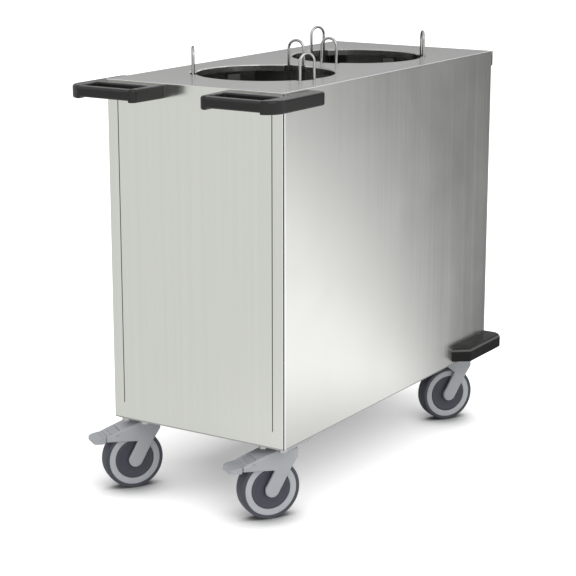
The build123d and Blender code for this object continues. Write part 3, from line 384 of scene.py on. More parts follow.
def lay_colour(tree, shader, mask, colour):
    """Lays a colour over the shader's own where the mask is 1."""
    toned = add_node(tree, "ShaderNodeMix", data_type="RGBA")
    toned.inputs[7].default_value = (*colour, 1.0)
    before = shader.inputs["Base Color"].links[0].from_socket
    wire_up(tree, (mask, toned.inputs[0]), (before, toned.inputs[6]),
            (toned.outputs[2], shader.inputs["Base Color"]))


def painted_line(tree, shader, place, axis, places, half_width, limits, colour):
    """Paints shade or highlight along straight lines: an axis, their places on it, and the height
    they span.
    """
    split = add_node(tree, "ShaderNodeSeparateXYZ")
    tree.links.new(place, split.inputs[0])
    total = None
    for where in places:
        mask = add_node(tree, "ShaderNodeMath", operation="COMPARE")
        mask.inputs[1].default_value, mask.inputs[2].default_value = where, half_width
        tree.links.new(split.outputs[axis], mask.inputs[0])
        if total is None:
            total = mask.outputs[0]
            continue
        both = add_node(tree, "ShaderNodeMath", operation="MAXIMUM")
        wire_up(tree, (total, both.inputs[0]), (mask.outputs[0], both.inputs[1]))
        total = both.outputs[0]
    middle = add_node(tree, "ShaderNodeMath", operation="COMPARE")
    middle.inputs[1].default_value = sum(limits) / 2
    middle.inputs[2].default_value = (limits[1] - limits[0]) / 2
    inside = add_node(tree, "ShaderNodeMath", operation="MULTIPLY")
    wire_up(tree, (split.outputs["Z"], middle.inputs[0]), (total, inside.inputs[0]),
            (middle.outputs[0], inside.inputs[1]))
    lay_colour(tree, shader, inside.outputs[0], colour)


def painted_length_shade(tree, shader, place, axis, reach, factors):
    """Scales the colour along an axis: painted light and shade, the sheet lighter at one end and
    darker at the other.
    """
    split = add_node(tree, "ShaderNodeSeparateXYZ")
    drift = add_node(tree, "ShaderNodeMapRange", From_Min=reach[0], From_Max=reach[1],
                     To_Min=factors[0], To_Max=factors[1])
    scaled = add_node(tree, "ShaderNodeVectorMath", operation="SCALE")
    before = shader.inputs["Base Color"].links[0].from_socket
    wire_up(tree, (place, split.inputs[0]), (split.outputs[axis], drift.inputs["Value"]),
            (before, scaled.inputs[0]), (drift.outputs["Result"], scaled.inputs["Scale"]),
            (scaled.outputs[0], shader.inputs["Base Color"]))


def parts_of(material):
    """The tree, shader and Object coordinates of one of the finishes."""
    tree = material.node_tree
    shader = next(n for n in tree.nodes if n.type == "BSDF_PRINCIPLED")
    place = next(n for n in tree.nodes if n.type == "TEX_COORD").outputs["Object"]
    return tree, shader, place


def painted_rim_highlight(material):
    """Painted highlight: pales a bumper's rounding between its top and its sides, where the surface
    slopes that way.
    """
    tree, shader, _ = parts_of(material)
    facing = add_node(tree, "ShaderNodeNewGeometry")
    split = add_node(tree, "ShaderNodeSeparateXYZ")
    off = add_node(tree, "ShaderNodeMath", operation="SUBTRACT")
    off.inputs[1].default_value = RIM_HIGHLIGHT_TILT
    apart = add_node(tree, "ShaderNodeMath", operation="ABSOLUTE")
    band = add_node(tree, "ShaderNodeMapRange", From_Min=RIM_HIGHLIGHT_FADE[0], From_Max=RIM_HIGHLIGHT_FADE[1],
                    To_Min=RIM_HIGHLIGHT_COVER, To_Max=0.0)
    wire_up(tree, (facing.outputs["Normal"], split.inputs[0]), (split.outputs["Z"], off.inputs[0]),
            (off.outputs[0], apart.inputs[0]), (apart.outputs[0], band.inputs["Value"]))
    lay_colour(tree, shader, band.outputs["Result"], RIM_HIGHLIGHT_TONE)
    return material


def bottom_shade(material, node):
    """Painted shade along a panel's lower hem."""
    tree, shader, place = parts_of(material)
    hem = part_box(node)[0].z
    painted_line(tree, shader, place, "Z", (hem,), HEM_REACH, (hem - HEM_REACH, hem + HEM_REACH),
              HEM_PAINTED_SHADE)


def deck_steel(colour):
    """The deck's steel, with a painted highlight along its two long folds and painted light and
    shade from its front to its rear.
    """
    material = brushed_steel("Deck steel", colour, 0.17, LENGTHWAYS, "Y", contrast=0.03,
                             anisotropy=0.35)
    tree, shader, place = parts_of(material)
    low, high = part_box("top_cover")
    # painted light and shade: the deck lighter at the front, darker toward the rear
    painted_length_shade(tree, shader, place, "Y", (low.y, high.y), DECK_PAINTED_SHADING)
    # painted highlight along the two long folds
    painted_line(tree, shader, place, "X", (low.x, high.x), FOLD_REACH,
              (high.z - 10.0 * MM, high.z + 10.0 * MM), FOLD_PAINTED_HIGHLIGHT)
    return material


def panel_steel(colour):
    """The steel of the sides and the rear, with painted shade along the lower hem and a painted
    highlight along the upright folds.
    """
    material = brushed_steel("Panel steel", colour, 0.20, UPRIGHT, "Z", contrast=0.06,
                             anisotropy=0.4)
    # painted shade along the lower hem
    bottom_shade(material, "side_panel_right")
    tree, shader, place = parts_of(material)
    low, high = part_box("side_panel_right")
    # painted highlight along the upright folds
    painted_line(tree, shader, place, "Y", (low.y + FOLD_REACH, high.y - FOLD_REACH), FOLD_REACH,
              (low.z, high.z), FOLD_PAINTED_HIGHLIGHT)
    return material


def front_panel_steel(colour):
    """The panel steel, with painted shade in its two upright grooves and along its lower hem."""
    material = brushed_steel("Front panel steel", colour, 0.14, UPRIGHT, "Z", contrast=0.06,
                             anisotropy=0.4)
    tree, shader, place = parts_of(material)
    low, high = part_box("front_panel")
    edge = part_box("side_panel_right")[1].x - GROOVE_FROM_EDGE
    # painted shade in the two upright grooves
    painted_line(tree, shader, place, "X", (-edge, edge), GROOVE_WIDTH / 2,
              (low.z + GROOVE_ABOVE_EDGE, high.z - GROOVE_BELOW_TOP), GROOVE_PAINTED_SHADE)
    # painted shade along the lower hem
    bottom_shade(material, "front_panel")
    return material


def moulded_plastic(name, colour, roughness, grain_scale, grain_depth, wear=0.2, ior=1.5):
    """Moulded plastic with a fine eroded grain and edges rubbed a little lighter."""
    material, tree, shader, place = start_material(name)
    grain = group_node(tree, "grain", Scale=grain_scale)
    edges = group_node(tree, "edge", Amount=wear)
    smudges = group_node(tree, "smudge", Size=24.0)
    wire_up(tree, *[(place, node.inputs["Vector"]) for node in (grain, edges, smudges)])
    lighter = add_node(tree, "ShaderNodeMix", data_type="RGBA")
    lighter.inputs[7].default_value = shaded(colour, WORN_EDGE)
    rough = spread_value(tree, roughness + PLASTIC_GLOSS[0], roughness + PLASTIC_GLOSS[1],
                         smudges.outputs["Mask"])
    wire_up(tree, (edges.outputs["Mask"], lighter.inputs[0]),
            (tone_colour(tree, colour, PLASTIC_TONE, grain.outputs["Tone"]), lighter.inputs[6]),
            (lighter.outputs[2], shader.inputs["Base Color"]),
            (rough, shader.inputs["Roughness"]))
    shader.inputs["IOR"].default_value = ior
    add_bump(tree, shader, grain.outputs["Height"], GRAIN_BUMP, grain_depth)
    return material


def bright_wire(name, colour, roughness):
    """Polished bent wire with faint draw lines; the shader's own tint darkens its outlines."""
    material, tree, shader, place = start_material(name)
    lines = group_node(tree, "brushed", Stretch=DRAW_LINES, Fine_Share=0.6)
    tree.links.new(place, lines.inputs["Vector"])
    rough = spread_value(tree, roughness + WIRE_GLOSS[0], roughness + WIRE_GLOSS[1],
                         lines.outputs["Tone"])
    wire_up(tree, (tone_colour(tree, colour, WIRE_TONE, lines.outputs["Tone"]),
                   shader.inputs["Base Color"]), (rough, shader.inputs["Roughness"]))
    shader.inputs["Metallic"].default_value = 1.0
    shader.inputs["Specular Tint"].default_value = WIRE_RIM_SHADE
    return material


def make_finishes():
    """One material for each finish.

    The values are its colour and roughness, then a steel's brushing and the axis it runs along,
    or a plastic's grain: its scale and its depth.
    """
    tint = colours()
    return {
        "deck": deck_steel(tint.deck),
        "panel": panel_steel(tint.panel),
        "front": front_panel_steel(tint.front),
        "inner": brushed_steel("Inner steel", tint.inner_steel, 0.38, UPRIGHT, "Z", contrast=0.08),
        "platform": brushed_steel("Platform steel", tint.deck, 0.30, LENGTHWAYS, "Y",
                                  contrast=0.05),
        "wire": bright_wire("Guide wire", tint.wire, 0.14),
        "spring": bright_wire("Spring wire", tint.wire, 0.28),
        "zinc": brushed_steel("Zinc plate", tint.zinc, 0.36, UPRIGHT, "Z", contrast=0.10,
                              marks=0.10),
        "handle": moulded_plastic("Handle plastic", tint.bumper, 0.21, 1400.0, 0.03 * MM,
                                  wear=0.5, ior=1.40),
        # painted highlight along the bumper's rounding
        "bumper": painted_rim_highlight(moulded_plastic(
            "Bumper plastic", shaded(tint.bumper, BUMPER_SHARE)[:3], 0.28, 1400.0, 0.03 * MM,
            wear=0.5, ior=1.13)),
        "fork": moulded_plastic("Fork plastic", tint.fork, 0.42, 1600.0, 0.04 * MM),
        "pedal": moulded_plastic("Pedal plastic", shaded(tint.fork, PEDAL_SHARE)[:3], 0.42,
                                 1600.0, 0.04 * MM),
        "rim": moulded_plastic("Rim plastic", tint.rim, 0.45, 1600.0, 0.04 * MM),
        "cap": moulded_plastic("Cap plastic", tint.cap, 0.46, 1200.0, 0.06 * MM, wear=0.3),
        "tyre": moulded_plastic("Tread rubber", tint.tyre, 0.58, 800.0, 0.10 * MM),
        "nylon": moulded_plastic("Roller nylon", tint.nylon, 0.5, 1200.0, 0.04 * MM, wear=0.0),
    }


FINISHES = {}


def finish(key):
    """One of the finishes; all are made at its first call."""
    if not FINISHES:
        FINISHES.update(make_finishes())
    return FINISHES[key]


def paint(obj, key):
    """Gives an object a finish in place of what it has."""
    obj.data.materials.clear()
    obj.data.materials.append(finish(key))


def paint_nodes(names, key):
    """Gives nodes of the construction model a finish."""
    for name in names:
        paint(frame["nodes"][name], key)


# ---------------------------------------------------------------- mesh helpers
SHARP_CORNER = radians(50)            # turned corners sharper than this stay crisp
SMOOTHING = 0.5                       # the share of each smoothing pass


def new_piece(name, mesh, body, key):
    """A shown piece that rides on a body and finish."""
    piece = bpy.data.objects.new(name, mesh)
    bpy.context.scene.collection.objects.link(piece)
    paint(piece, key)
    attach(piece, body)
    return piece


def smooth_shade(mesh):
    """Shades every face smooth."""
    mesh.polygons.foreach_set("use_smooth", [True] * len(mesh.polygons))


def body_of(node):
    """The moving body that a node belongs to."""
    return frame["nodes"][node]["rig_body"]


def moulded_from(node, name, voxel, passes, key):
    """A moulding in the node's place, with every edge rounded as a mould leaves it."""
    mesh = frame["nodes"][node].data.copy()
    rough = bpy.data.objects.new(name + "_rough", mesh)
    bpy.context.scene.collection.objects.link(rough)
    remesh = rough.modifiers.new("Even mesh", "REMESH")
    remesh.mode, remesh.voxel_size = "VOXEL", voxel
    smooth = rough.modifiers.new("Rounded edges", "SMOOTH")
    smooth.factor, smooth.iterations = SMOOTHING, passes
    evaluated = rough.evaluated_get(bpy.context.evaluated_depsgraph_get())
    final = bpy.data.meshes.new_from_object(evaluated)
    bpy.data.objects.remove(rough)
    smooth_shade(final)
    piece = new_piece(name, final, body_of(node), key)
    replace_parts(piece, node)


def ring_mesh(name, profile, segments, place):
    """A closed (radius, width) profile turned round the local Y axis and put in place."""
    points, faces, count = [], [], len(profile)
    for step in range(segments):
        angle = tau * step / segments
        points += [place @ Vector((r * cos(angle), w, r * sin(angle))) for r, w in profile]
    for step in range(segments):
        here, there = step * count, (step + 1) % segments * count
        faces += [(here + i, here + (i + 1) % count, there + (i + 1) % count, there + i)
                  for i in range(count)]
    mesh = bpy.data.meshes.new(name)
    mesh.from_pydata(points, [], faces)
    mesh.validate()
    smooth_shade(mesh)
    mesh.set_sharp_from_angle(angle=SHARP_CORNER)
    return mesh


def arc(centre, radius, start, end, steps):
    """Points on an arc of a profile, angles in degrees from the radial direction."""
    return [(centre[0] + radius * cos(radians(start + (end - start) * i / steps)),
             centre[1] + radius * sin(radians(start + (end - start) * i / steps)))
            for i in range(steps + 1)]


def tube_mesh(name, path, radius, sides):
    """A round tube along a list of points, capped at both ends."""
    points, faces = [], []
    normal = None
    for i, here in enumerate(path):
        ahead = path[min(i + 1, len(path) - 1)] - path[max(i - 1, 0)]
        ahead.normalize()
        if normal is None:
            normal = ahead.orthogonal().normalized()
        normal = (normal - ahead * normal.dot(ahead)).normalized()
        across = ahead.cross(normal)
        points += [here + radius * (normal * cos(tau * k / sides) + across * sin(tau * k / sides))
                   for k in range(sides)]
    for i in range(len(path) - 1):
        a, b = i * sides, (i + 1) * sides
        faces += [(a + k, a + (k + 1) % sides, b + (k + 1) % sides, b + k) for k in range(sides)]
    faces += [tuple(reversed(range(sides))),
              tuple(range(len(points) - sides, len(points)))]
    mesh = bpy.data.meshes.new(name)
    mesh.from_pydata(points, [], faces)
    smooth_shade(mesh)
    return mesh


# ---------------------------------------------------------------- pieces
EYE_RADIUS = 5.0 * MM                 # of the eye at a spring's end
COIL_POINTS, COIL_SIDES = 14, 7       # a spring's points a turn, and its wire's facets
BOTTOM_EYE = range(-250, 60, 20)      # the bearings, in degrees, that an eye's points have
TOP_EYE = range(-60, 250, 20)


def wheel_place(caster):
    """The wheel's centre and its axle direction as a placing matrix, +Y along the axle."""
    joint = JOINTS[f"wheel_{caster}_spin"]
    across = Vector(joint["axis"]).normalized()
    along = across.cross(Vector((0, 0, 1)))
    basis = Matrix((along, across, Vector((0, 0, 1)))).transposed().to_4x4()
    return Matrix.Translation(joint["pos_m"]) @ basis


def both_faces(half):
    """A closed profile in metres from its outer half in millimetres, mirrored to the inner."""
    return [(r * MM, w * MM) for r, w in half] + [(r * MM, -w * MM) for r, w in reversed(half)]


def tyre_profile():
    """A tyre's section, in millimetres: a crowned tread with round shoulders."""
    inner, half, crown, shoulder, drop = 54.6, 16.0, 62.5, 2.2, 0.8
    edge = half - shoulder
    tread = [(crown - drop * (w / edge) ** 2, w) for w in (0.0, 3.0, 6.0, 9.0, 11.5)]
    corner = arc((crown - drop - shoulder, edge), shoulder, 10.0, 90.0, 6)
    return both_faces([(inner, half)] + list(reversed(corner)) + list(reversed(tread[1:])))


def rim_profile():
    """The wheel core's section, in millimetres: hub, web, and the ring with its shallow dish."""
    return both_faces([(6.1, 19.1), (11.9, 19.1), (12.0, 19.0), (12.0, 5.0), (39.3, 5.0),
                       (39.3, 11.0), (41.2, 11.0), (41.25, 15.0), (41.7, 15.7), (42.6, 15.95),
                       (47.8, 15.7), (53.0, 15.95), (53.9, 15.8), (54.5, 15.3), (54.55, 14.0)])


def cap_profile(side):
    """A cover disc's section on one side of the wheel: raised hub, dished face, round edge."""
    outer = [(12.4, 11.1), (12.4, 14.6), (13.2, 15.4), (16.5, 15.5), (32.4, 15.3), (35.7, 16.3),
             (36.7, 16.55), (39.6, 16.55), (40.6, 16.2), (41.1, 15.3), (41.1, 11.1)]
    return [(r * MM, side * w * MM) for r, w in outer]


def make_wheel(caster):
    """Crowned tyre, stepped rim ring and two dished cover discs."""
    place, steps = wheel_place(caster), sizes().wheel_segments
    body = body_of(f"wheel_tyre_{caster}")
    for part, profile, key in (("tyre", tyre_profile(), "tyre"), ("core", rim_profile(), "rim")):
        node = f"wheel_{part}_{caster}"
        mesh = ring_mesh(f"{part}_{caster}", profile, steps, place)
        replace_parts(new_piece(f"{part}_{caster}", mesh, body, key), node)
    for side, word in ((-1, "inner"), (1, "outer")):
        node = f"wheel_caps_{caster}"
        mesh = ring_mesh(f"cap_{word}_{caster}", cap_profile(side), steps, place)
        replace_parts(new_piece(f"cap_{word}_{caster}", mesh, body, "cap"), node)


def make_spring_pair(stack):
    """Close-wound springs with an eye at each end, from the hanger's pins to the carriage's."""
    size, node = sizes(), f"lift_springs_{stack}"
    low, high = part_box(node)
    wire, coil = size.spring_wire / 2, size.spring_radius - size.spring_wire / 2
    middle_y, eye = (low.y + high.y) / 2, EYE_RADIUS
    for side, x in (("left", low.x + size.spring_radius), ("right", high.x - size.spring_radius)):
        bottom, top = low.z + 2 * eye + 2 * wire, high.z - 2 * eye - 2 * wire
        path = [Vector((x, middle_y - eye * cos(a), low.z + eye + wire + eye * sin(a)))
                for a in [radians(d) for d in BOTTOM_EYE]]
        steps = COIL_POINTS * size.spring_turns
        for i in range(steps + 1):
            angle = tau * size.spring_turns * i / steps
            path.append(Vector((x + coil * sin(angle), middle_y - coil * cos(angle),
                                bottom + (top - bottom) * i / steps)))
        path += [Vector((x, middle_y - eye * cos(a), high.z - eye - wire + eye * sin(a)))
                 for a in [radians(d) for d in TOP_EYE]]
        mesh = tube_mesh(f"spring_{stack}_{side}", path, wire, COIL_SIDES)
        piece = bpy.data.objects.new(mesh.name, mesh)
        bpy.context.scene.collection.objects.link(piece)
        mesh.materials.append(finish("spring"))
        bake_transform(piece)
        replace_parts(piece, node)


# ---------------------------------------------------------------- stage
CAMERA_PLACE = (1.94069, -3.12523, 1.26981)
CAMERA_PITCH = 76.2495                # degrees up from looking straight down
CAMERA_YAW = 32.407                   # degrees counter-clockwise from looking along +Y
CAMERA_LENS, CAMERA_FILM = 109.68, 36.0      # millimetres
LAMP_AIM = (0.0, 0.0, 0.45)
SOFTBOXES = (                         # name, place, size in metres, power in watts
    ("Key softbox", (2.9, -1.8, 3.0), (2.8, 2.2), 30.0),
    ("Fill softbox", (-2.4, -2.4, 2.6), (2.6, 2.2), 8.0),
    ("Back softbox", (-0.6, 3.2, 2.8), (3.0, 1.8), 8.0),
)
OVERHEAD = 0.80                       # the studio dome's brightness overhead, as mirrored
DOME_RISE = (0.15, 0.75)              # the upward slopes over which it takes over
FILL = 0.85                           # the dome's plain light on dull surfaces
FLOOR_HALF = 30.0                     # half the floor's side
FLOOR_ROUGHNESS = 0.9
NEAR_FLOOR, OPEN_FLOOR = 0.30, 0.95   # the reach of the painted shade under the cart on the mirrored floor
NEAR_LEVEL = 0.62                     # the mirrored floor's level under the cart
BACK_START, BACK_END, FAR_BACK = 1.0, 5.5, 0.70     # and its dimming far behind the cart
SHADE_SLANT = (-0.135, 0.07)          # the painted shadow's box is shifted away from the key lamp
SHADE_GROW = (0.07, 0.09)             # and reaches past the outline
SHADE_REACH = (-0.32, 0.10)           # from its dark middle to the open floor
SHADE_LEVEL = (0.06, 0.62)            # the seen floor's added white there
CONTACT_REACH = 0.12                  # of the dark shade under each wheel's foot
CONTACT_FULL = 0.35                   # the openness at which that shade is full
CONTACT_TONE = 0.25                   # the floor colour's painted darkening in that shade
CONTACT_SAMPLES = 8


def make_camera():
    """The view from the front right, a little above the deck."""
    data = bpy.data.cameras.new("Camera")
    data.lens, data.sensor_width = CAMERA_LENS, CAMERA_FILM
    camera = bpy.data.objects.new("Camera", data)
    camera.location = CAMERA_PLACE
    camera.rotation_euler = (radians(CAMERA_PITCH), 0.0, radians(CAMERA_YAW))
    bpy.context.scene.collection.objects.link(camera)
    bpy.context.scene.camera = camera


def distance_outside(tree, place):
    """How far a floor point lies outside the painted shadow's box under the cabinet, and below zero
    inside it.
    """
    low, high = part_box("base_frame")
    split = add_node(tree, "ShaderNodeSeparateXYZ")
    tree.links.new(place, split.inputs[0])
    sides = []
    for axis, slant, grow in zip("XY", SHADE_SLANT, SHADE_GROW):
        middle = (getattr(high, axis.lower()) + getattr(low, axis.lower())) / 2 + slant
        half = (getattr(high, axis.lower()) - getattr(low, axis.lower())) / 2 + grow
        shift = add_node(tree, "ShaderNodeMath", operation="SUBTRACT")
        size = add_node(tree, "ShaderNodeMath", operation="ABSOLUTE")
        side = add_node(tree, "ShaderNodeMath", operation="SUBTRACT")
        shift.inputs[1].default_value, side.inputs[1].default_value = middle, half
        wire_up(tree, (split.outputs[axis], shift.inputs[0]), (shift.outputs[0], size.inputs[0]),
                (size.outputs[0], side.inputs[0]))
        sides.append(side.outputs[0])
    larger = add_node(tree, "ShaderNodeMath", operation="MAXIMUM")
    wire_up(tree, (sides[0], larger.inputs[0]), (sides[1], larger.inputs[1]))
    return larger.outputs[0]


def contact_shade(tree, path):
    """The seen floor's painted contact shade from ambient occlusion where a wheel stands close over
    it, which follows the wheels.
    """
    cover = add_node(tree, "ShaderNodeAmbientOcclusion", samples=CONTACT_SAMPLES)
    cover.inputs["Distance"].default_value = CONTACT_REACH
    shade = add_node(tree, "ShaderNodeMapRange", interpolation_type="SMOOTHSTEP",
                     From_Min=CONTACT_FULL, From_Max=1.0, To_Min=0.0, To_Max=1.0)
    as_seen = add_node(tree, "ShaderNodeMix", data_type="FLOAT")
    as_seen.inputs[2].default_value = 1.0
    wire_up(tree, (cover.outputs["AO"], shade.inputs["Value"]),
            (path.outputs["Is Camera Ray"], as_seen.inputs[0]),
            (shade.outputs["Result"], as_seen.inputs[3]))
    return as_seen.outputs[0]


def seen_white(tree, place, path, contact):
    """The white that the floor adds to the camera's view, held back inside the painted shadow's
    box, where the floor's real shadow shows.
    """
    away = add_node(tree, "ShaderNodeMapRange", From_Min=SHADE_REACH[0],
                    From_Max=SHADE_REACH[1], To_Min=SHADE_LEVEL[0], To_Max=SHADE_LEVEL[1])
    clear = add_node(tree, "ShaderNodeMath", operation="MULTIPLY")
    seen = add_node(tree, "ShaderNodeMath", operation="MULTIPLY")
    wire_up(tree, (distance_outside(tree, place), away.inputs["Value"]),
            (away.outputs["Result"], clear.inputs[0]), (contact, clear.inputs[1]),
            (path.outputs["Is Camera Ray"], seen.inputs[0]), (clear.outputs[0], seen.inputs[1]))
    return seen.outputs[0]


def mirrored_level(tree, place):
    """The floor as the steel mirrors it: the surround, with painted shade under the cart and dimmed
    far behind.
    """
    surround = group_node(tree, "surround")
    distance = add_node(tree, "ShaderNodeVectorMath", operation="LENGTH")
    near = add_node(tree, "ShaderNodeMapRange", interpolation_type="SMOOTHSTEP",
                    From_Min=NEAR_FLOOR, From_Max=OPEN_FLOOR, To_Min=NEAR_LEVEL, To_Max=1.0)
    split = add_node(tree, "ShaderNodeSeparateXYZ")
    behind = add_node(tree, "ShaderNodeMapRange", interpolation_type="SMOOTHSTEP",
                      From_Min=BACK_START, From_Max=BACK_END, To_Min=1.0, To_Max=FAR_BACK)
    dimmed = add_node(tree, "ShaderNodeMath", operation="MULTIPLY")
    level = add_node(tree, "ShaderNodeMath", operation="MULTIPLY")
    wire_up(tree, (place, surround.inputs["Vector"]), (place, distance.inputs[0]),
            (distance.outputs["Value"], near.inputs["Value"]),
            (place, split.inputs[0]), (split.outputs["Y"], behind.inputs["Value"]),
            (surround.outputs["Level"], dimmed.inputs[0]),
            (behind.outputs["Result"], dimmed.inputs[1]),
            (dimmed.outputs[0], level.inputs[0]), (near.outputs["Result"], level.inputs[1]))
    return level.outputs[0]


def floor_material():
    """Pale floor that keeps shadows; its white background comes by Light Path alone."""
    material, tree, shader, place = start_material("Studio floor")
    shader.inputs["Roughness"].default_value = FLOOR_ROUGHNESS
    shader.inputs["Specular IOR Level"].default_value = 0.0
    path = add_node(tree, "ShaderNodeLightPath")
    contact = contact_shade(tree, path)
    contact_shaded_floor = add_node(tree, "ShaderNodeMix", data_type="RGBA")
    contact_shaded_floor.inputs[6].default_value = shaded(colours().floor, CONTACT_TONE)
    contact_shaded_floor.inputs[7].default_value = (*colours().floor, 1.0)
    white = add_node(tree, "ShaderNodeEmission", Color=(1, 1, 1, 1))
    mirrored = add_node(tree, "ShaderNodeEmission", Strength=1.0)
    plain = add_node(tree, "ShaderNodeAddShader")
    by_gloss = add_node(tree, "ShaderNodeMixShader")
    output = next(n for n in tree.nodes if n.type == "OUTPUT_MATERIAL")
    wire_up(tree, (contact, contact_shaded_floor.inputs[0]),
            (contact_shaded_floor.outputs[2], shader.inputs["Base Color"]),
            (seen_white(tree, place, path, contact), white.inputs["Strength"]),
            (mirrored_level(tree, place), mirrored.inputs["Color"]),
            (shader.outputs["BSDF"], plain.inputs[0]), (white.outputs[0], plain.inputs[1]),
            (path.outputs["Is Glossy Ray"], by_gloss.inputs[0]),
            (plain.outputs[0], by_gloss.inputs[1]), (mirrored.outputs[0], by_gloss.inputs[2]),
            (by_gloss.outputs[0], output.inputs["Surface"]))
    return material


def make_floor():
    """A wide plain floor under the cart."""
    mesh = bpy.data.meshes.new("Floor")
    half = FLOOR_HALF
    mesh.from_pydata([(-half, -half, 0), (half, -half, 0), (half, half, 0), (-half, half, 0)],
                     [], [(0, 1, 2, 3)])
    floor = bpy.data.objects.new("Floor", mesh)
    bpy.context.scene.collection.objects.link(floor)
    mesh.materials.append(floor_material())


def make_world():
    """White to the camera, a grey-to-white studio dome to reflections, plain fill otherwise."""
    world = bpy.data.worlds.new("Studio")
    bpy.context.scene.world = world
    world.use_nodes = True
    tree = world.node_tree
    tree.nodes.clear()
    place = add_node(tree, "ShaderNodeTexCoord")
    split = add_node(tree, "ShaderNodeSeparateXYZ")
    surround = group_node(tree, "surround")
    height = add_node(tree, "ShaderNodeMapRange", interpolation_type="SMOOTHSTEP",
                      From_Min=DOME_RISE[0], From_Max=DOME_RISE[1])
    dome = add_node(tree, "ShaderNodeMix", data_type="FLOAT")
    dome.inputs[3].default_value = OVERHEAD
    path = add_node(tree, "ShaderNodeLightPath")
    white = add_node(tree, "ShaderNodeBackground", Color=(1, 1, 1, 1), Strength=1.0)
    studio = add_node(tree, "ShaderNodeBackground", Strength=1.0)
    fill = add_node(tree, "ShaderNodeBackground", Color=(1, 1, 1, 1), Strength=FILL)
    by_gloss, by_camera = (add_node(tree, "ShaderNodeMixShader") for _ in range(2))
    output = add_node(tree, "ShaderNodeOutputWorld")
    wire_up(tree, (place.outputs["Generated"], split.inputs[0]),
            (place.outputs["Generated"], surround.inputs["Vector"]),
            (split.outputs["Z"], height.inputs["Value"]),
            (height.outputs["Result"], dome.inputs[0]), (surround.outputs["Level"], dome.inputs[2]),
            (dome.outputs[0], studio.inputs["Color"]),
            (path.outputs["Is Glossy Ray"], by_gloss.inputs[0]),
            (fill.outputs[0], by_gloss.inputs[1]), (studio.outputs[0], by_gloss.inputs[2]),
            (path.outputs["Is Camera Ray"], by_camera.inputs[0]),
            (by_gloss.outputs[0], by_camera.inputs[1]), (white.outputs[0], by_camera.inputs[2]),
            (by_camera.outputs[0], output.inputs["Surface"]))


def add_softbox(name, place, size, power):
    """A soft rectangular lamp aimed at the cart's middle."""
    data = bpy.data.lights.new(name, "AREA")
    data.shape, data.size, data.size_y = "RECTANGLE", size[0], size[1]
    data.energy = power
    lamp = bpy.data.objects.new(name, data)
    lamp.location = place
    lamp.rotation_euler = (Vector(LAMP_AIM) - Vector(place)).to_track_quat("-Z", "Y").to_euler()
    bpy.context.scene.collection.objects.link(lamp)


# ---------------------------------------------------------------- operators
class CART_OT_stage(bpy.types.Operator):
    """Make the camera, floor, studio dome and soft lamps"""
    bl_idname = "cart.stage"
    bl_label = "Stage"

    def execute(self, context):
        context.scene.view_settings.view_transform = "Standard"
        make_camera()
        make_floor()
        make_world()
        for softbox in SOFTBOXES:
            add_softbox(*softbox)
        return {"FINISHED"}


class CART_OT_cabinet(bpy.types.Operator):
    """Finish the top cover, the four panels and the floor pan"""
    bl_idname = "cart.cabinet"
    bl_label = "Cabinet"

    def execute(self, context):
        paint_nodes(["top_cover"], "deck")
        paint_nodes(["side_panel_left", "side_panel_right", "rear_panel"], "panel")
        paint_nodes(["front_panel"], "front")
        paint_nodes(["base_frame", "corner_posts"], "inner")
        return {"FINISHED"}


class CART_OT_wells(bpy.types.Operator):
    """Finish what stands in the two plate wells"""
    bl_idname = "cart.wells"
    bl_label = "Plate wells"

    def execute(self, context):
        for stack in STACKS:
            paint_nodes([f"platform_{stack}"], "platform")
            paint_nodes([f"guide_base_{stack}", f"lift_carriage_{stack}", f"tower_panel_{stack}"],
                        "inner")
            paint_nodes([f"lift_rollers_{stack}"], "nylon")
        paint_nodes(["lift_rails", "spring_hanger", "well_posts"], "inner")
        return {"FINISHED"}


class CART_OT_guides(bpy.types.Operator):
    """Finish the six wire plate guides"""
    bl_idname = "cart.guides"
    bl_label = "Plate guides"

    def execute(self, context):
        paint_nodes([f"plate_guide_{stack}_{number}" for stack in STACKS
                     for number in (1, 2, 3)], "wire")
        return {"FINISHED"}


class CART_OT_springs(bpy.types.Operator):
    """Wind the lift springs"""
    bl_idname = "cart.springs"
    bl_label = "Lift springs"

    def execute(self, context):
        for stack in STACKS:
            make_spring_pair(stack)
        return {"FINISHED"}


class CART_OT_bumpers(bpy.types.Operator):
    """Mould the push handles and the rear bumpers"""
    bl_idname = "cart.bumpers"
    bl_label = "Handles and bumpers"

    def execute(self, context):
        for side in SIDES:
            for part, name in (("push_handle", "handle"), ("rear_bumper", "bumper")):
                moulded_from(f"{part}_{side}", f"{name}_{side}", sizes().moulding_voxel,
                             sizes().moulding_passes, name)
        return {"FINISHED"}


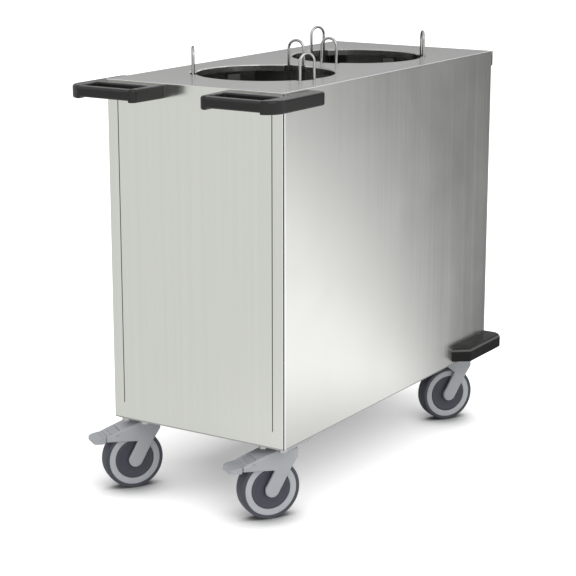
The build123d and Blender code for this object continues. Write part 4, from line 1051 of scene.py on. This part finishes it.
class CART_OT_forks(bpy.types.Operator):
    """Mould the caster forks and finish the brake pedals"""
    bl_idname = "cart.forks"
    bl_label = "Forks and pedals"

    def execute(self, context):
        for caster in CASTERS:
            moulded_from(f"caster_fork_{caster}", f"fork_{caster}", sizes().fork_voxel,
                         sizes().moulding_passes, "fork")
        paint_nodes([f"brake_pedal_{caster}" for caster in CASTERS if caster.startswith("front")],
                    "pedal")
        return {"FINISHED"}


class CART_OT_wheels(bpy.types.Operator):
    """Turn the tyres, rims and cover discs"""
    bl_idname = "cart.wheels"
    bl_label = "Wheels"

    def execute(self, context):
        for caster in CASTERS:
            make_wheel(caster)
        return {"FINISHED"}


class CART_OT_fasteners(bpy.types.Operator):
    """Finish the screws, bolts, axles and caster plates"""
    bl_idname = "cart.fasteners"
    bl_label = "Fasteners"

    def execute(self, context):
        plain = [f"{part}_{caster}" for part in ("caster_plate", "wheel_axle")
                 for caster in CASTERS]
        paint_nodes(["bumper_screws", "caster_bolts"] + plain, "zinc")
        return {"FINISHED"}


STEPS = (CART_OT_stage, CART_OT_cabinet, CART_OT_wells, CART_OT_guides, CART_OT_springs,
         CART_OT_bumpers, CART_OT_forks, CART_OT_wheels, CART_OT_fasteners)


class CART_PT_panel(bpy.types.Panel):
    """Lists the cart's steps"""
    bl_idname = "CART_PT_panel"
    bl_label = "Plate dispenser cart"
    bl_space_type = "VIEW_3D"
    bl_region_type = "UI"
    bl_category = "Cart"

    def draw(self, context):
        for step in STEPS:
            self.layout.operator(step.bl_idname)


CLASSES = (CartSizes, CartColours, *STEPS, CART_PT_panel)


def register():
    """Adds the cart's classes and its settings."""
    for item in CLASSES:
        bpy.utils.register_class(item)
    bpy.types.Scene.cart_sizes = PointerProperty(type=CartSizes)
    bpy.types.Scene.cart_colours = PointerProperty(type=CartColours)


def unregister():
    """Takes them away again."""
    del bpy.types.Scene.cart_colours
    del bpy.types.Scene.cart_sizes
    for item in reversed(CLASSES):
        bpy.utils.unregister_class(item)


def main():
    """Runs every step in order."""
    register()
    bpy.ops.cart.stage()
    bpy.ops.cart.cabinet()
    bpy.ops.cart.wells()
    bpy.ops.cart.guides()
    bpy.ops.cart.springs()
    bpy.ops.cart.bumpers()
    bpy.ops.cart.forks()
    bpy.ops.cart.wheels()
    bpy.ops.cart.fasteners()


if __name__ == "__main__":
    main()
